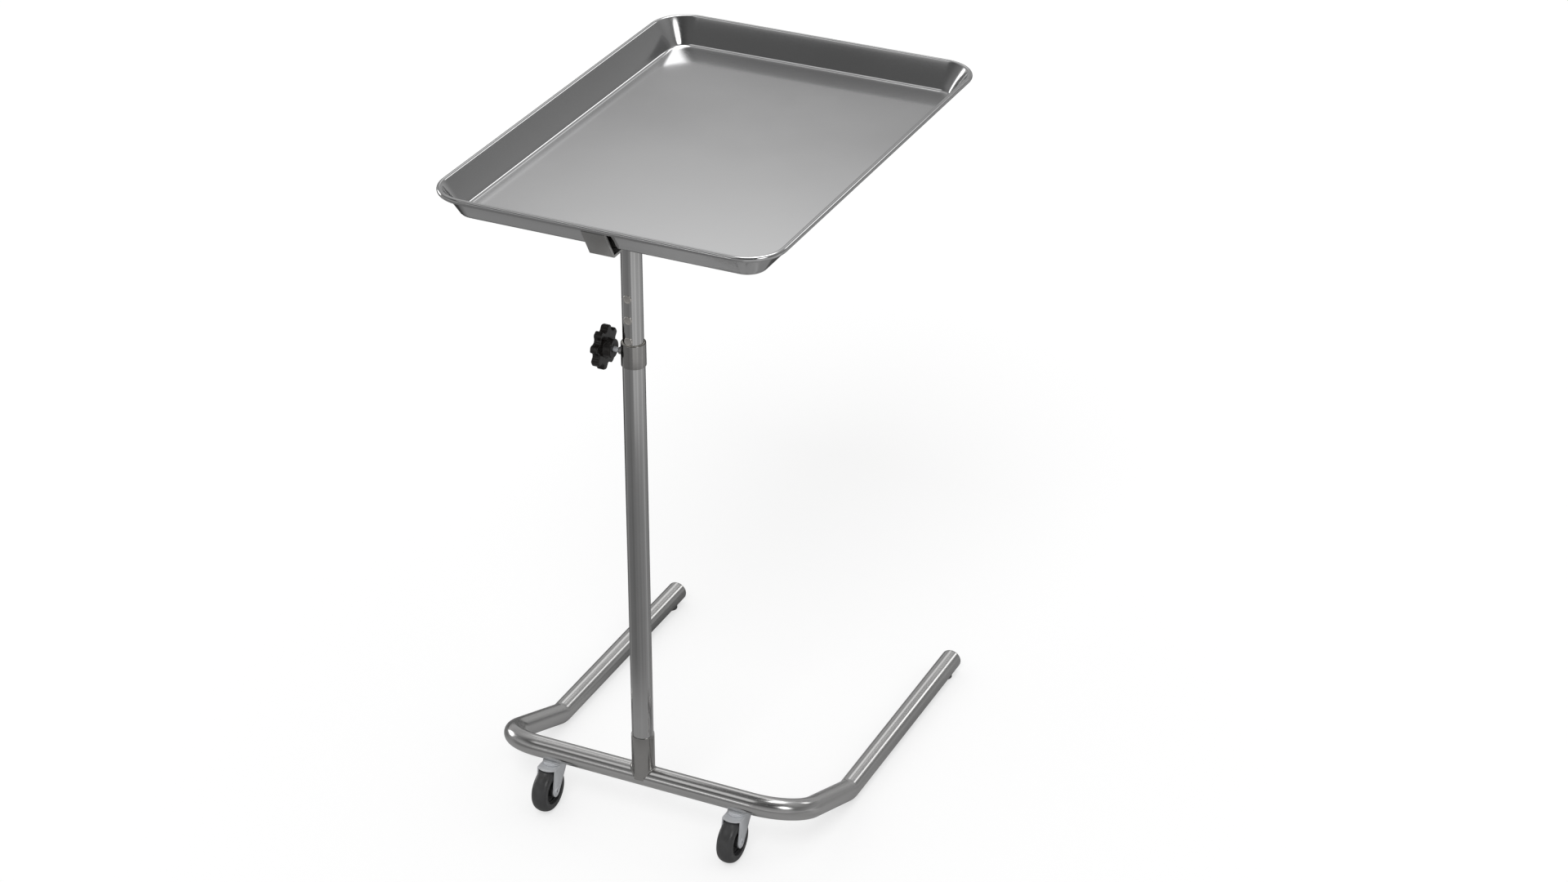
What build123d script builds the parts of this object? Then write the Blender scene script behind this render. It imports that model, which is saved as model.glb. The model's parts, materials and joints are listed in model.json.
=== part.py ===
from build123d import *
import math
import os

# Mayo instrument stand, millimetres. +Z is up and z = 0 is the floor. The origin lies under the
# middle of the tray. +Y runs from the column along the legs, +X along the crossbar.
# The stand is drawn at its lowest setting, as it is photographed.

# Column tubes
LOWER_TUBE_OD = 25.2
LOWER_TUBE_WALL = 0.8
UPPER_TUBE_WALL = 1.5
SLIDE_CLEARANCE = 0.1
UPPER_TUBE_OD = LOWER_TUBE_OD - 2 * (LOWER_TUBE_WALL + SLIDE_CLEARANCE)
LOWER_TUBE_R = LOWER_TUBE_OD / 2
LOWER_BORE_R = LOWER_TUBE_R - LOWER_TUBE_WALL
UPPER_TUBE_R = UPPER_TUBE_OD / 2
UPPER_BORE_R = UPPER_TUBE_R - UPPER_TUBE_WALL
UPPER_TUBE_FOOT_GAP = 8.0

# Fits, and how far a cutting shape runs past what it cuts
FIT = 0.05
PRESS = 0.02
AIR = 0.3
OVERCUT = 1.0

# Floor frame: one bent tube, a raised crossbar and two legs that drop to the floor
FRAME_TUBE_OD = 25.4
FRAME_TUBE_WALL = 1.5
FRAME_TUBE_R = FRAME_TUBE_OD / 2
FRAME_BORE_R = FRAME_TUBE_R - FRAME_TUBE_WALL
CROSSBAR_HEIGHT = 74.0
LEG_SPACING = 385.7
LEG_REACH = 468.3
LEG_KINK_REACH = 149.4
LEG_GROUND_GAP = 2.3
LEG_HEIGHT = LEG_GROUND_GAP + FRAME_TUBE_R
CORNER_BEND_R = 54.0
KINK_BEND_R = 30.0

# Leg ends
END_PLUG_FLANGE = 2.0
END_PLUG_ROUND = 1.2
END_PLUG_DEPTH = 16.0
END_PLUG_WALL = 2.0
GLIDE_R = 8.5
GLIDE_FROM_END = 20.0
GLIDE_STEM_R = 3.0
GLIDE_STEM_TOP = 7.0
GLIDE_EDGE = 0.9

# Tray
TRAY_LENGTH = 579.0
TRAY_WIDTH = 407.8
TRAY_DEPTH = 31.9
TRAY_SHEET = 0.9
TRAY_BEAD_R = 3.2
TRAY_WALL_INSET = 22.2
TRAY_CORNER_R = 42.0
TRAY_FLOOR_BEND = 5.0
TRAY_SEAM = 3.0
TRAY_CURL_OPENING = 80.0
COLUMN_OVERHANG = 87.9
COLUMN_Y = COLUMN_OVERHANG - TRAY_LENGTH / 2

# Tray support
SUPPORT_HEIGHT = 770.4
STRAP_WIDTH = 28.2
STRAP_THICKNESS = 3.0
STRAP_BEND = 1.2
LIP_FOOT_INSET = 19.2
LIP_HEIGHT = 34.0
LIP_LEAN = 0.565
TRAY_STANDOFF = 6.9
TRAY_SEAT_GAP = 0.2
CROSS_STRAP_LENGTH = 300.0
CROSS_STRAP_CORNER_R = 8.5
PAD_R = 8.0
PAD_EDGE = 0.8
PAD_STEM_R = 3.0
PAD_FROM_END = 22.0
PAD_HEAD_R = 4.2
PAD_HEAD = 1.4
RIB_THICKNESS = 3.0
RIB_DEPTH = 30.0
RIB_TIP_DEPTH = 8.0
RIB_REACH = 380.0

# Screws and rivets of the support
TOP_PLUG_HEIGHT = 14.0
STRAP_SCREW_R = 2.5
STRAP_SCREW_HEAD_R = 4.6
STRAP_SCREW_HEAD = 2.8
STRAP_SCREW_ROUND = 1.4
STRAP_SCREW_SPACING = 11.0
STRAP_SCREW_LENGTH = 12.0
SCREW_SLOT = 1.2
SCREW_SLOT_DEPTH = 1.1
SCREW_HOLE_GAP = 0.25
RIVET_R = 2.0
RIVET_HEAD_R = 3.8
RIVET_HEAD = 1.5
RIVET_ROUND = 0.9
RIVET_SPACING = 16.0

# Index studs on the upper tube; the lowest one stops on the clamp collar
STUD_COUNT = 3
STUD_PITCH = 25.4
STUD_DROP = 126.2
STUD_R = 4.9
STUD_PROUD = 0.9
STUD_SHANK_R = 2.0
STUD_TAIL = 1.2
STUD_EDGE = 0.25

# Column socket and the set screw that holds the lower tube in it
SOCKET_WALL = 0.85
SOCKET_R = LOWER_TUBE_R + FIT + SOCKET_WALL
SOCKET_TOP = 131.7
BASE_PLUG_HEIGHT = 25.0
BASE_PLUG_EDGE = 1.0
SET_SCREW_R = 3.0
SET_SCREW_LENGTH = 8.0
SET_SCREW_SINK = 0.6
SET_SCREW_KEY_AF = 3.0
SET_SCREW_KEY_DEPTH = 3.0

# Clamp collar with its guide bush
COLLAR_HEIGHT = 28.0
COLLAR_WALL = 1.3
COLLAR_R = LOWER_TUBE_R + FIT + COLLAR_WALL
COLLAR_TOP = SUPPORT_HEIGHT - STUD_DROP - STUD_R - AIR
COLLAR_BOTTOM = COLLAR_TOP - COLLAR_HEIGHT
COLLAR_SOCKET = 8.0
COLLAR_EDGE = 0.6
BUSH_HEIGHT = 8.0
BUSH_WALL = 1.1
BUSH_SINK = 0.4
GUIDE_RING_HEIGHT = 9.0
GUIDE_RING_WALL = 1.0
GUIDE_RING_RISE = 6.0

# Clamp screw and knob, on an axis along X through the collar
CLAMP_RISE = 14.0
CLAMP_HEIGHT = COLLAR_BOTTOM + CLAMP_RISE
CLAMP_SCREW_R = 3.0
CLAMP_BOSS_R = 4.3
CLAMP_BOSS_LENGTH = 3.2
CLAMP_TIP_HEAD = 0.7
CLAMP_TIP_R = 2.6
CLAMP_TIP_STEM_R = 1.45
CLAMP_TIP_STEM = 5.0
KNOB_HUB_END = 23.8
KNOB_HUB_LENGTH = 7.9
KNOB_HUB_R = 11.0
KNOB_HUB_TAPER = 0.8
KNOB_HUB_EDGE = 1.0
KNOB_THICKNESS = 9.2
KNOB_R = 25.2
KNOB_LOBES = 8
KNOB_PHASE = 60.0
KNOB_SCALLOP_R = 5.6
KNOB_SCALLOP_OUT = -0.2
KNOB_EDGE = 1.6
KNOB_VALLEY_EDGE = 1.8
KNOB_DISH_R = 12.5
KNOB_DISH = 2.0
INSERT_AF = 10.0
INSERT_SINK = 1.5
INSERT_LENGTH = 12.0

# Swivel casters under the crossbar
CASTER_SPACING = 241.5
CASTER_TRAIL = 14.0
WHEEL_R = 27.5
WHEEL_WIDTH = 19.4
TYRE_CROWN = 6.0
TYRE_SEAT_R = 17.0
TYRE_SEAT_WIDTH = 13.0
WHEEL_WEB = 6.0
WHEEL_RIM = 2.4
HUB_R = 8.0
HUB_GAP = 0.35
SPACER_WALL = 1.5
AXLE_R = 3.0
AXLE_HEAD_R = 4.2
AXLE_HEAD = 1.0
AXLE_BORE_R = 1.5
FORK_SHEET = 1.7
FORK_SIDE_GAP = 0.6
FORK_REAR = 11.0
FORK_FRONT = 15.5
FORK_NOSE = 5.5
FORK_EYE_R = 7.5
FORK_BACK_DROP = 8.0
FORK_EDGE = 1.5
STEM_FLANGE_AF = 20.0
STEM_FLANGE = 1.8
STEM_R = 4.0
STEM_LENGTH = 13.0
KINGPIN_R = 3.5
KINGPIN_HEAD_R = 4.4
KINGPIN_HEAD = 1.3
RACE_R = 11.6
RACE_THICKNESS = 1.9
BALL_R = 1.05
BALL_RING_R = 8.2
BALL_COUNT = 8
BALL_GAP = 0.05
FORK_PLATE_TOP = CROSSBAR_HEIGHT - FRAME_TUBE_R - STEM_FLANGE - RACE_THICKNESS - AIR
INSERT_WALL = 3.0


def rod(radius, bottom, top, x=0.0, y=COLUMN_Y):
    """Upright round bar between two heights."""
    return Pos(x, y, (bottom + top) / 2) * Cylinder(radius, top - bottom)


def rod_x(radius, start, end, y=COLUMN_Y, z=0.0):
    """Round bar along X between two stations."""
    return Pos((start + end) / 2, y, z) * Rot(0, 90, 0) * Cylinder(radius, end - start)


def rod_y(radius, start, end, x=0.0, z=0.0):
    """Round bar along Y between two stations."""
    return Pos(x, (start + end) / 2, z) * Rot(90, 0, 0) * Cylinder(radius, end - start)


def tube(outer, inner, bottom, top, x=0.0, y=COLUMN_Y):
    """Upright tube between two heights."""
    return rod(outer, bottom, top, x, y) - rod(inner, bottom - OVERCUT, top + OVERCUT, x, y)


def hex_prism(across_flats, bottom, top, x=0.0, y=COLUMN_Y):
    """Upright hexagonal prism between two heights."""
    outline = RegularPolygon(across_flats / 2, 6, major_radius=False)
    return Pos(x, y, bottom) * extrude(outline, top - bottom)


def edges_at_height(shape, height):
    """Edges that lie wholly at one height."""
    near = 1e-3
    return [
        edge
        for edge in shape.edges()
        if abs(edge.bounding_box().min.Z - height) < near
        and abs(edge.bounding_box().max.Z - height) < near
    ]


# Floor frame
CASTER_XS = (-CASTER_SPACING / 2, CASTER_SPACING / 2)
LEG_XS = (-LEG_SPACING / 2, LEG_SPACING / 2)
LEG_END_Y = COLUMN_Y + LEG_REACH
TUBE_END_Y = LEG_END_Y - END_PLUG_FLANGE
GLIDE_Y = LEG_END_Y - GLIDE_FROM_END
CROSSBAR_BOTTOM = CROSSBAR_HEIGHT - FRAME_TUBE_R
CROSSBAR_TOP = CROSSBAR_HEIGHT + FRAME_TUBE_R
INSERT_R = STEM_R + INSERT_WALL


def frame_path():
    """Centre line of the bent tube, from one leg end round to the other."""
    kink_y = COLUMN_Y + LEG_KINK_REACH
    left, right = LEG_XS
    points = [
        (left, TUBE_END_Y, LEG_HEIGHT),
        (left, kink_y, LEG_HEIGHT),
        (left, COLUMN_Y, CROSSBAR_HEIGHT),
        (right, COLUMN_Y, CROSSBAR_HEIGHT),
        (right, kink_y, LEG_HEIGHT),
        (right, TUBE_END_Y, LEG_HEIGHT),
    ]
    bends = [KINK_BEND_R, CORNER_BEND_R, CORNER_BEND_R, KINK_BEND_R]
    return FilletPolyline(*points, radius=bends)


def make_base_frame():
    """Bent tube with its holes for the caster inserts and the glides."""
    path = frame_path()
    start = Plane(origin=path @ 0, z_dir=path % 0)
    section = start * (Circle(FRAME_TUBE_R) - Circle(FRAME_BORE_R))
    frame = sweep(section, path=path)
    for x in CASTER_XS:
        frame -= rod(INSERT_R + PRESS, CROSSBAR_BOTTOM - OVERCUT, CROSSBAR_HEIGHT, x)
    for x in LEG_XS:
        frame -= rod(GLIDE_STEM_R + PRESS, 0, LEG_HEIGHT, x, GLIDE_Y)
    return frame


def make_leg_end_plugs():
    """Hollow plugs pushed into the leg ends, with a flange as wide as the tube."""
    plugs = []
    for x in LEG_XS:
        plug = rod_y(FRAME_BORE_R - FIT, TUBE_END_Y - END_PLUG_DEPTH, TUBE_END_Y, x, LEG_HEIGHT)
        plug -= rod_y(
            FRAME_BORE_R - FIT - END_PLUG_WALL,
            TUBE_END_Y - END_PLUG_DEPTH - OVERCUT,
            TUBE_END_Y,
            x,
            LEG_HEIGHT,
        )
        plug -= rod(GLIDE_STEM_R + AIR, 0, LEG_HEIGHT, x, GLIDE_Y)
        flange = rod_y(FRAME_TUBE_R, TUBE_END_Y, LEG_END_Y, x, LEG_HEIGHT)
        rim = flange.edges().group_by(Axis.Y)[-1]
        plugs.append(plug + fillet(rim, END_PLUG_ROUND))
    return plugs


def make_leg_glides():
    """Round feet under the leg ends, saddled to the tube and stemmed into it."""
    glides = []
    for x in LEG_XS:
        foot = rod(GLIDE_R, 0, LEG_HEIGHT, x, GLIDE_Y)
        foot = fillet(edges_at_height(foot, 0), GLIDE_EDGE)
        foot -= rod_y(FRAME_TUBE_R, GLIDE_Y - 2 * GLIDE_R, GLIDE_Y + 2 * GLIDE_R, x, LEG_HEIGHT)
        foot += rod(GLIDE_STEM_R, LEG_GROUND_GAP / 2, GLIDE_STEM_TOP, x, GLIDE_Y)
        glides.append(foot)
    return glides


def make_caster_inserts():
    """Threaded inserts set in the underside of the crossbar."""
    inserts = []
    for x in CASTER_XS:
        body = tube(INSERT_R, STEM_R + PRESS, CROSSBAR_BOTTOM, CROSSBAR_HEIGHT + STEM_R, x)
        crossbar = rod_x(FRAME_TUBE_R, x - 2 * INSERT_R, x + 2 * INSERT_R, z=CROSSBAR_HEIGHT)
        inserts.append(body & crossbar)
    return inserts


# Column foot
LOWER_TUBE_FOOT = CROSSBAR_TOP + AIR
BASE_PLUG_TOP = LOWER_TUBE_FOOT + BASE_PLUG_HEIGHT
SET_SCREW_HEIGHT = (LOWER_TUBE_FOOT + BASE_PLUG_TOP) / 2
SET_SCREW_OUTER = COLUMN_Y + SOCKET_R - SET_SCREW_SINK
SET_SCREW_INNER = SET_SCREW_OUTER - SET_SCREW_LENGTH


def set_screw_hole(gap):
    """Bar that cuts the set screw's hole through the back of the column foot."""
    start = SET_SCREW_INNER - SET_SCREW_SINK
    return rod_y(SET_SCREW_R + gap, start, COLUMN_Y + 2 * SOCKET_R, z=SET_SCREW_HEIGHT)


def make_column_socket():
    """Short sleeve coped to the crossbar, which the lower tube stands in."""
    socket = tube(SOCKET_R, LOWER_TUBE_R + FIT, CROSSBAR_HEIGHT, SOCKET_TOP) - set_screw_hole(PRESS)
    return socket - rod_x(FRAME_TUBE_R, -2 * SOCKET_R, 2 * SOCKET_R, z=CROSSBAR_HEIGHT)


def make_column_base_plug():
    """Plug fixed in the foot of the lower tube, tapped for the set screw."""
    plug = rod(LOWER_BORE_R - PRESS, LOWER_TUBE_FOOT, BASE_PLUG_TOP)
    plug = chamfer(edges_at_height(plug, BASE_PLUG_TOP), BASE_PLUG_EDGE)
    return plug - set_screw_hole(PRESS)


def make_socket_screw():
    """Set screw with a hexagon socket, through the back of the sleeve into the base plug."""
    screw = rod_y(SET_SCREW_R, SET_SCREW_INNER, SET_SCREW_OUTER, z=SET_SCREW_HEIGHT)
    face = Plane(origin=(0, SET_SCREW_OUTER, SET_SCREW_HEIGHT), x_dir=(1, 0, 0), z_dir=(0, 1, 0))
    key = RegularPolygon(SET_SCREW_KEY_AF / 2, 6, major_radius=False)
    return screw - extrude(face * key, -SET_SCREW_KEY_DEPTH)


# Clamp collar
COLLAR_SHOULDER = COLLAR_BOTTOM + COLLAR_SOCKET
COLLAR_BORE_R = UPPER_TUBE_R + AIR
BUSH_BORE_R = UPPER_TUBE_R + FIT
BUSH_R = BUSH_BORE_R + BUSH_WALL
BUSH_TOP = COLLAR_TOP - BUSH_SINK


def make_lower_column():
    """Lower tube from the socket up to the shoulder inside the collar."""
    return tube(LOWER_TUBE_R, LOWER_BORE_R, LOWER_TUBE_FOOT, COLLAR_SHOULDER) - set_screw_hole(PRESS)


def make_clamp_collar():
    """Collar counterbored for the lower tube and the bush, with a boss tapped for the clamp screw."""
    collar = rod(COLLAR_R, COLLAR_BOTTOM, COLLAR_TOP)
    rims = edges_at_height(collar, COLLAR_TOP) + edges_at_height(collar, COLLAR_BOTTOM)
    collar = chamfer(rims, COLLAR_EDGE)
    collar += rod_x(CLAMP_BOSS_R, -COLLAR_R - CLAMP_BOSS_LENGTH, -LOWER_TUBE_R, z=CLAMP_HEIGHT)
    collar -= rod(LOWER_TUBE_R + FIT, COLLAR_BOTTOM - OVERCUT, COLLAR_SHOULDER)
    collar -= rod(COLLAR_BORE_R, COLLAR_BOTTOM, COLLAR_TOP + OVERCUT)
    collar -= rod(BUSH_R + PRESS, BUSH_TOP - BUSH_HEIGHT, COLLAR_TOP + OVERCUT)
    return collar - rod_x(CLAMP_SCREW_R + FIT, -2 * COLLAR_R, 0, z=CLAMP_HEIGHT)


def make_guide_bush():
    """Plastic bush in the mouth of the collar, which the upper tube runs in."""
    return tube(BUSH_R, BUSH_BORE_R, BUSH_TOP - BUSH_HEIGHT, BUSH_TOP)


# Upper column
UPPER_TUBE_FOOT = BASE_PLUG_TOP + UPPER_TUBE_FOOT_GAP
GUIDE_RING_BOTTOM = UPPER_TUBE_FOOT + GUIDE_RING_RISE
GUIDE_RING_R = LOWER_BORE_R - FIT
GUIDE_GROOVE_R = GUIDE_RING_R - GUIDE_RING_WALL - FIT
STUD_HEIGHTS = [SUPPORT_HEIGHT - STUD_DROP + i * STUD_PITCH for i in range(STUD_COUNT)]


def make_upper_column():
    """Upper tube with a groove for the guide ring near its foot and holes for the index studs."""
    column = tube(UPPER_TUBE_R, UPPER_BORE_R, UPPER_TUBE_FOOT, SUPPORT_HEIGHT)
    groove_top = GUIDE_RING_BOTTOM + GUIDE_RING_HEIGHT + 2 * FIT
    column -= tube(LOWER_TUBE_R, GUIDE_GROOVE_R, GUIDE_RING_BOTTOM, groove_top)
    for height in STUD_HEIGHTS:
        column -= rod_y(STUD_SHANK_R + PRESS, COLUMN_Y - LOWER_TUBE_R, COLUMN_Y, z=height)
    return column


def make_column_guide_ring():
    """Plastic ring that lies in the groove of the upper tube and runs in the lower tube."""
    bottom = GUIDE_RING_BOTTOM + FIT
    return tube(GUIDE_RING_R, GUIDE_GROOVE_R + FIT, bottom, bottom + GUIDE_RING_HEIGHT)


def make_index_studs():
    """Flat round studs riveted through the wall of the upper tube, one above the other."""
    studs = []
    front = COLUMN_Y - UPPER_TUBE_R - STUD_PROUD
    for height in STUD_HEIGHTS:
        disc = rod_y(STUD_R, front, COLUMN_Y - UPPER_TUBE_R / 2, z=height)
        disc = fillet(disc.edges().group_by(Axis.Y)[0], STUD_EDGE)
        disc -= rod(UPPER_TUBE_R, height - 2 * STUD_R, height + 2 * STUD_R)
        shank_end = COLUMN_Y - UPPER_BORE_R + STUD_TAIL
        disc += rod_y(STUD_SHANK_R, COLUMN_Y - UPPER_TUBE_R - STUD_PROUD / 2, shank_end, z=height)
        studs.append(disc)
    return studs


# Tray support
STRAP_TOP = SUPPORT_HEIGHT + STRAP_THICKNESS
TRAY_UNDERSIDE = STRAP_TOP + TRAY_STANDOFF
RIM_Y = TRAY_LENGTH / 2 - TRAY_BEAD_R
RIM_X = TRAY_WIDTH / 2 - TRAY_BEAD_R
LIP_FOOT_Y = RIM_Y - LIP_FOOT_INSET
LONG_PAD_Y = LIP_FOOT_Y - STRAP_THICKNESS - PAD_FROM_END
CROSS_PAD_X = CROSS_STRAP_LENGTH / 2 - PAD_FROM_END
SCREW_YS = (COLUMN_Y - STRAP_SCREW_SPACING / 2, COLUMN_Y + STRAP_SCREW_SPACING / 2)
RIVET_POINTS = [(x, 0.0) for x in (-RIVET_SPACING / 2, RIVET_SPACING / 2)]
PAD_POINTS = [
    (0.0, -LONG_PAD_Y, STRAP_TOP),
    (0.0, LONG_PAD_Y, STRAP_TOP),
    (-CROSS_PAD_X, 0.0, STRAP_TOP + STRAP_THICKNESS),
    (CROSS_PAD_X, 0.0, STRAP_TOP + STRAP_THICKNESS),
]


def bent_strip(points, thickness, bend):
    """Face of a bent sheet: one side follows the points, the other lies a thickness to the left."""
    corners = [Vector(*point) for point in points]
    headings = [(after - before).normalized() for before, after in zip(corners, corners[1:])]
    other_side = [corners[0] + headings[0].rotate(Axis.Z, 90) * thickness]
    for corner, arriving, leaving in zip(corners[1:], headings, headings[1:]):
        middle = (arriving + leaving).normalized().rotate(Axis.Z, 90)
        spread = thickness / middle.dot(arriving.rotate(Axis.Z, 90))
        other_side.append(corner + middle * spread)
    other_side.append(corners[-1] + headings[-1].rotate(Axis.Z, 90) * thickness)
    strip = make_face(Polyline(*corners, *reversed(other_side), close=True))
    for corner, opposite, arriving, leaving in zip(corners[1:], other_side[1:], headings, headings[1:]):
        turns_left = arriving.cross(leaving).Z > 0
        outside, inside = (corner, opposite) if turns_left else (opposite, corner)
        for place, radius in ((outside, bend + thickness), (inside, bend)):
            vertex = strip.vertices().sort_by_distance(place)[0]
            strip = fillet(vertex, radius)
    return strip


def make_support_strap():
    """Long flat bar under the tray, bent up at both ends into lips that lean out under the rim."""
    lean = LIP_LEAN * LIP_HEIGHT
    line = [
        (-LIP_FOOT_Y - lean, SUPPORT_HEIGHT + LIP_HEIGHT),
        (-LIP_FOOT_Y, SUPPORT_HEIGHT),
        (LIP_FOOT_Y, SUPPORT_HEIGHT),
        (LIP_FOOT_Y + lean, SUPPORT_HEIGHT + LIP_HEIGHT),
    ]
    profile = bent_strip(line, STRAP_THICKNESS, STRAP_BEND)
    strap = extrude(Plane.YZ * profile, STRAP_WIDTH / 2, both=True)
    below = SUPPORT_HEIGHT - OVERCUT
    above = STRAP_TOP + OVERCUT
    for y in SCREW_YS:
        strap -= rod(STRAP_SCREW_R + SCREW_HOLE_GAP, below, above, 0, y)
    for x, y in RIVET_POINTS:
        strap -= rod(RIVET_R + PRESS, below, above, x, y)
    for x, y, seat in PAD_POINTS[:2]:
        strap -= rod(PAD_STEM_R + PRESS, below, above, x, y)
    return strap


def make_cross_strap():
    """Short flat bar across the long one, under the middle of the tray."""
    bar = Pos(0, 0, STRAP_TOP + STRAP_THICKNESS / 2) * Box(
        CROSS_STRAP_LENGTH, STRAP_WIDTH, STRAP_THICKNESS
    )
    bar = fillet(bar.edges().filter_by(Axis.Z), CROSS_STRAP_CORNER_R)
    below = STRAP_TOP - OVERCUT
    above = STRAP_TOP + STRAP_THICKNESS + OVERCUT
    for x, y in RIVET_POINTS:
        bar -= rod(RIVET_R + PRESS, below, above, x, y)
    for x, y, seat in PAD_POINTS[2:]:
        bar -= rod(PAD_STEM_R + PRESS, below, above, x, y)
    return bar


def make_support_rib():
    """Tapered plate on edge under the long bar, welded to it and to the upper tube."""
    start = COLUMN_Y + UPPER_TUBE_R / 2
    end = COLUMN_Y + RIB_REACH
    outline = Polyline(
        (start, SUPPORT_HEIGHT),
        (end, SUPPORT_HEIGHT),
        (end, SUPPORT_HEIGHT - RIB_TIP_DEPTH),
        (start, SUPPORT_HEIGHT - RIB_DEPTH),
        close=True,
    )
    rib = extrude(Plane.YZ * make_face(outline), RIB_THICKNESS / 2, both=True)
    return rib - rod(UPPER_TUBE_R, SUPPORT_HEIGHT - 2 * RIB_DEPTH, SUPPORT_HEIGHT + OVERCUT)


def make_column_top_plug():
    """Plug in the top of the upper tube, tapped for the two strap screws."""
    bottom = SUPPORT_HEIGHT - TOP_PLUG_HEIGHT
    plug = rod(UPPER_BORE_R - PRESS, bottom, SUPPORT_HEIGHT)
    for y in SCREW_YS:
        plug -= rod(STRAP_SCREW_R + PRESS, bottom - OVERCUT, SUPPORT_HEIGHT + OVERCUT, 0, y)
    return plug


def make_strap_screws():
    """Slotted pan-head screws that hold the long bar to the top plug."""
    screws = []
    for y in SCREW_YS:
        head_top = STRAP_TOP + STRAP_SCREW_HEAD
        head = rod(STRAP_SCREW_HEAD_R, STRAP_TOP, head_top, 0, y)
        head = fillet(edges_at_height(head, head_top), STRAP_SCREW_ROUND)
        head -= Pos(0, y, head_top) * Box(3 * STRAP_SCREW_HEAD_R, SCREW_SLOT, 2 * SCREW_SLOT_DEPTH)
        screws.append(head + rod(STRAP_SCREW_R, STRAP_TOP - STRAP_SCREW_LENGTH, STRAP_TOP, 0, y))
    return screws


def make_cross_rivets():
    """Rivets through both bars where they cross."""
    rivets = []
    for x, y in RIVET_POINTS:
        top = STRAP_TOP + STRAP_THICKNESS
        upper = rod(RIVET_HEAD_R, top, top + RIVET_HEAD, x, y)
        upper = fillet(edges_at_height(upper, top + RIVET_HEAD), RIVET_ROUND)
        lower = rod(RIVET_HEAD_R, SUPPORT_HEIGHT - RIVET_HEAD, SUPPORT_HEIGHT, x, y)
        lower = fillet(edges_at_height(lower, SUPPORT_HEIGHT - RIVET_HEAD), RIVET_ROUND)
        rivets.append(upper + lower + rod(RIVET_R, SUPPORT_HEIGHT, top, x, y))
    return rivets


def make_tray_pads():
    """Rubber buffers pushed into the bars, which the tray rests on."""
    pads = []
    top = TRAY_UNDERSIDE - TRAY_SEAT_GAP
    for x, y, seat in PAD_POINTS:
        under = seat - STRAP_THICKNESS
        pad = rod(PAD_R, seat, top, x, y)
        pad = fillet(edges_at_height(pad, top), PAD_EDGE)
        pad += rod(PAD_STEM_R, under, seat, x, y)
        pad += rod(PAD_HEAD_R, under - PAD_HEAD, under, x, y)
        pads.append(pad)
    return pads


# Tray
TRAY_TOP = TRAY_UNDERSIDE + TRAY_DEPTH
BEAD_Z = TRAY_TOP - TRAY_BEAD_R


def bead_profile(rise):
    """Section of wall and curled rim; x runs in from the bead's centre line, y up from the underside."""
    middle_r = TRAY_BEAD_R - TRAY_SHEET / 2
    fold = Vector(TRAY_WALL_INSET, TRAY_SHEET)
    centre = Vector(0, rise)
    reach = fold - centre
    inner_r = TRAY_BEAD_R - TRAY_SHEET
    touch = math.degrees(math.atan2(reach.Y, reach.X) + math.acos(TRAY_BEAD_R / reach.length))
    tangent = centre + Vector(TRAY_BEAD_R, 0).rotate(Axis.Z, touch)
    floor_end = Vector(TRAY_WALL_INSET + TRAY_FLOOR_BEND + TRAY_SEAM, TRAY_SHEET)
    strip = bent_strip([floor_end, fold, tangent], TRAY_SHEET, TRAY_FLOOR_BEND)
    far = 2 * TRAY_BEAD_R
    opening = touch - TRAY_CURL_OPENING
    mouth = [Vector(far, 0).rotate(Axis.Z, opening + TRAY_CURL_OPENING * i / 3) for i in range(4)]
    wedge = make_face(Polyline(Vector(0, 0), *mouth, close=True))
    curl = Circle(TRAY_BEAD_R) - Circle(inner_r) - wedge
    return strip + Pos(0, rise) * curl


def make_tray():
    """Pressed tray: flat floor, leaning walls and a rim curled outwards into a hollow bead."""
    profile = bead_profile(BEAD_Z - TRAY_UNDERSIDE)
    outline = RectangleRounded(2 * RIM_X, 2 * RIM_Y, TRAY_CORNER_R)
    path = (Pos(0, 0, TRAY_UNDERSIDE) * outline).face().outer_wire()
    start = path @ 0
    heading = path % 0
    inward = Vector(0, 0, 1).cross(heading)
    if inward.dot(start) > 0:
        inward = inward * -1
    section = Plane(origin=start, x_dir=inward, z_dir=inward.cross(Vector(0, 0, 1))) * profile
    wall = sweep(section, path=path)
    floor_inset = TRAY_WALL_INSET + TRAY_FLOOR_BEND + TRAY_SEAM
    floor = RectangleRounded(
        2 * (RIM_X - floor_inset), 2 * (RIM_Y - floor_inset), TRAY_CORNER_R - floor_inset
    )
    return wall + extrude(Pos(0, 0, TRAY_UNDERSIDE) * floor, TRAY_SHEET)


# Clamp screw and knob
TIP_FACE = UPPER_TUBE_R + AIR
SCREW_TIP = TIP_FACE + CLAMP_TIP_HEAD
KNOB_HUB_FOOT = KNOB_HUB_END + KNOB_HUB_LENGTH
KNOB_FACE = KNOB_HUB_FOOT + KNOB_THICKNESS
INSERT_START = KNOB_HUB_END + INSERT_SINK
INSERT_END = INSERT_START + INSERT_LENGTH


def make_clamp_tip():
    """Plastic swivel tip: a flat head that presses on the upper tube and a stem in the screw."""
    head = rod_x(CLAMP_TIP_R, -SCREW_TIP, -TIP_FACE, z=CLAMP_HEIGHT)
    return head + rod_x(CLAMP_TIP_STEM_R, -SCREW_TIP - CLAMP_TIP_STEM, -SCREW_TIP, z=CLAMP_HEIGHT)


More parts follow.
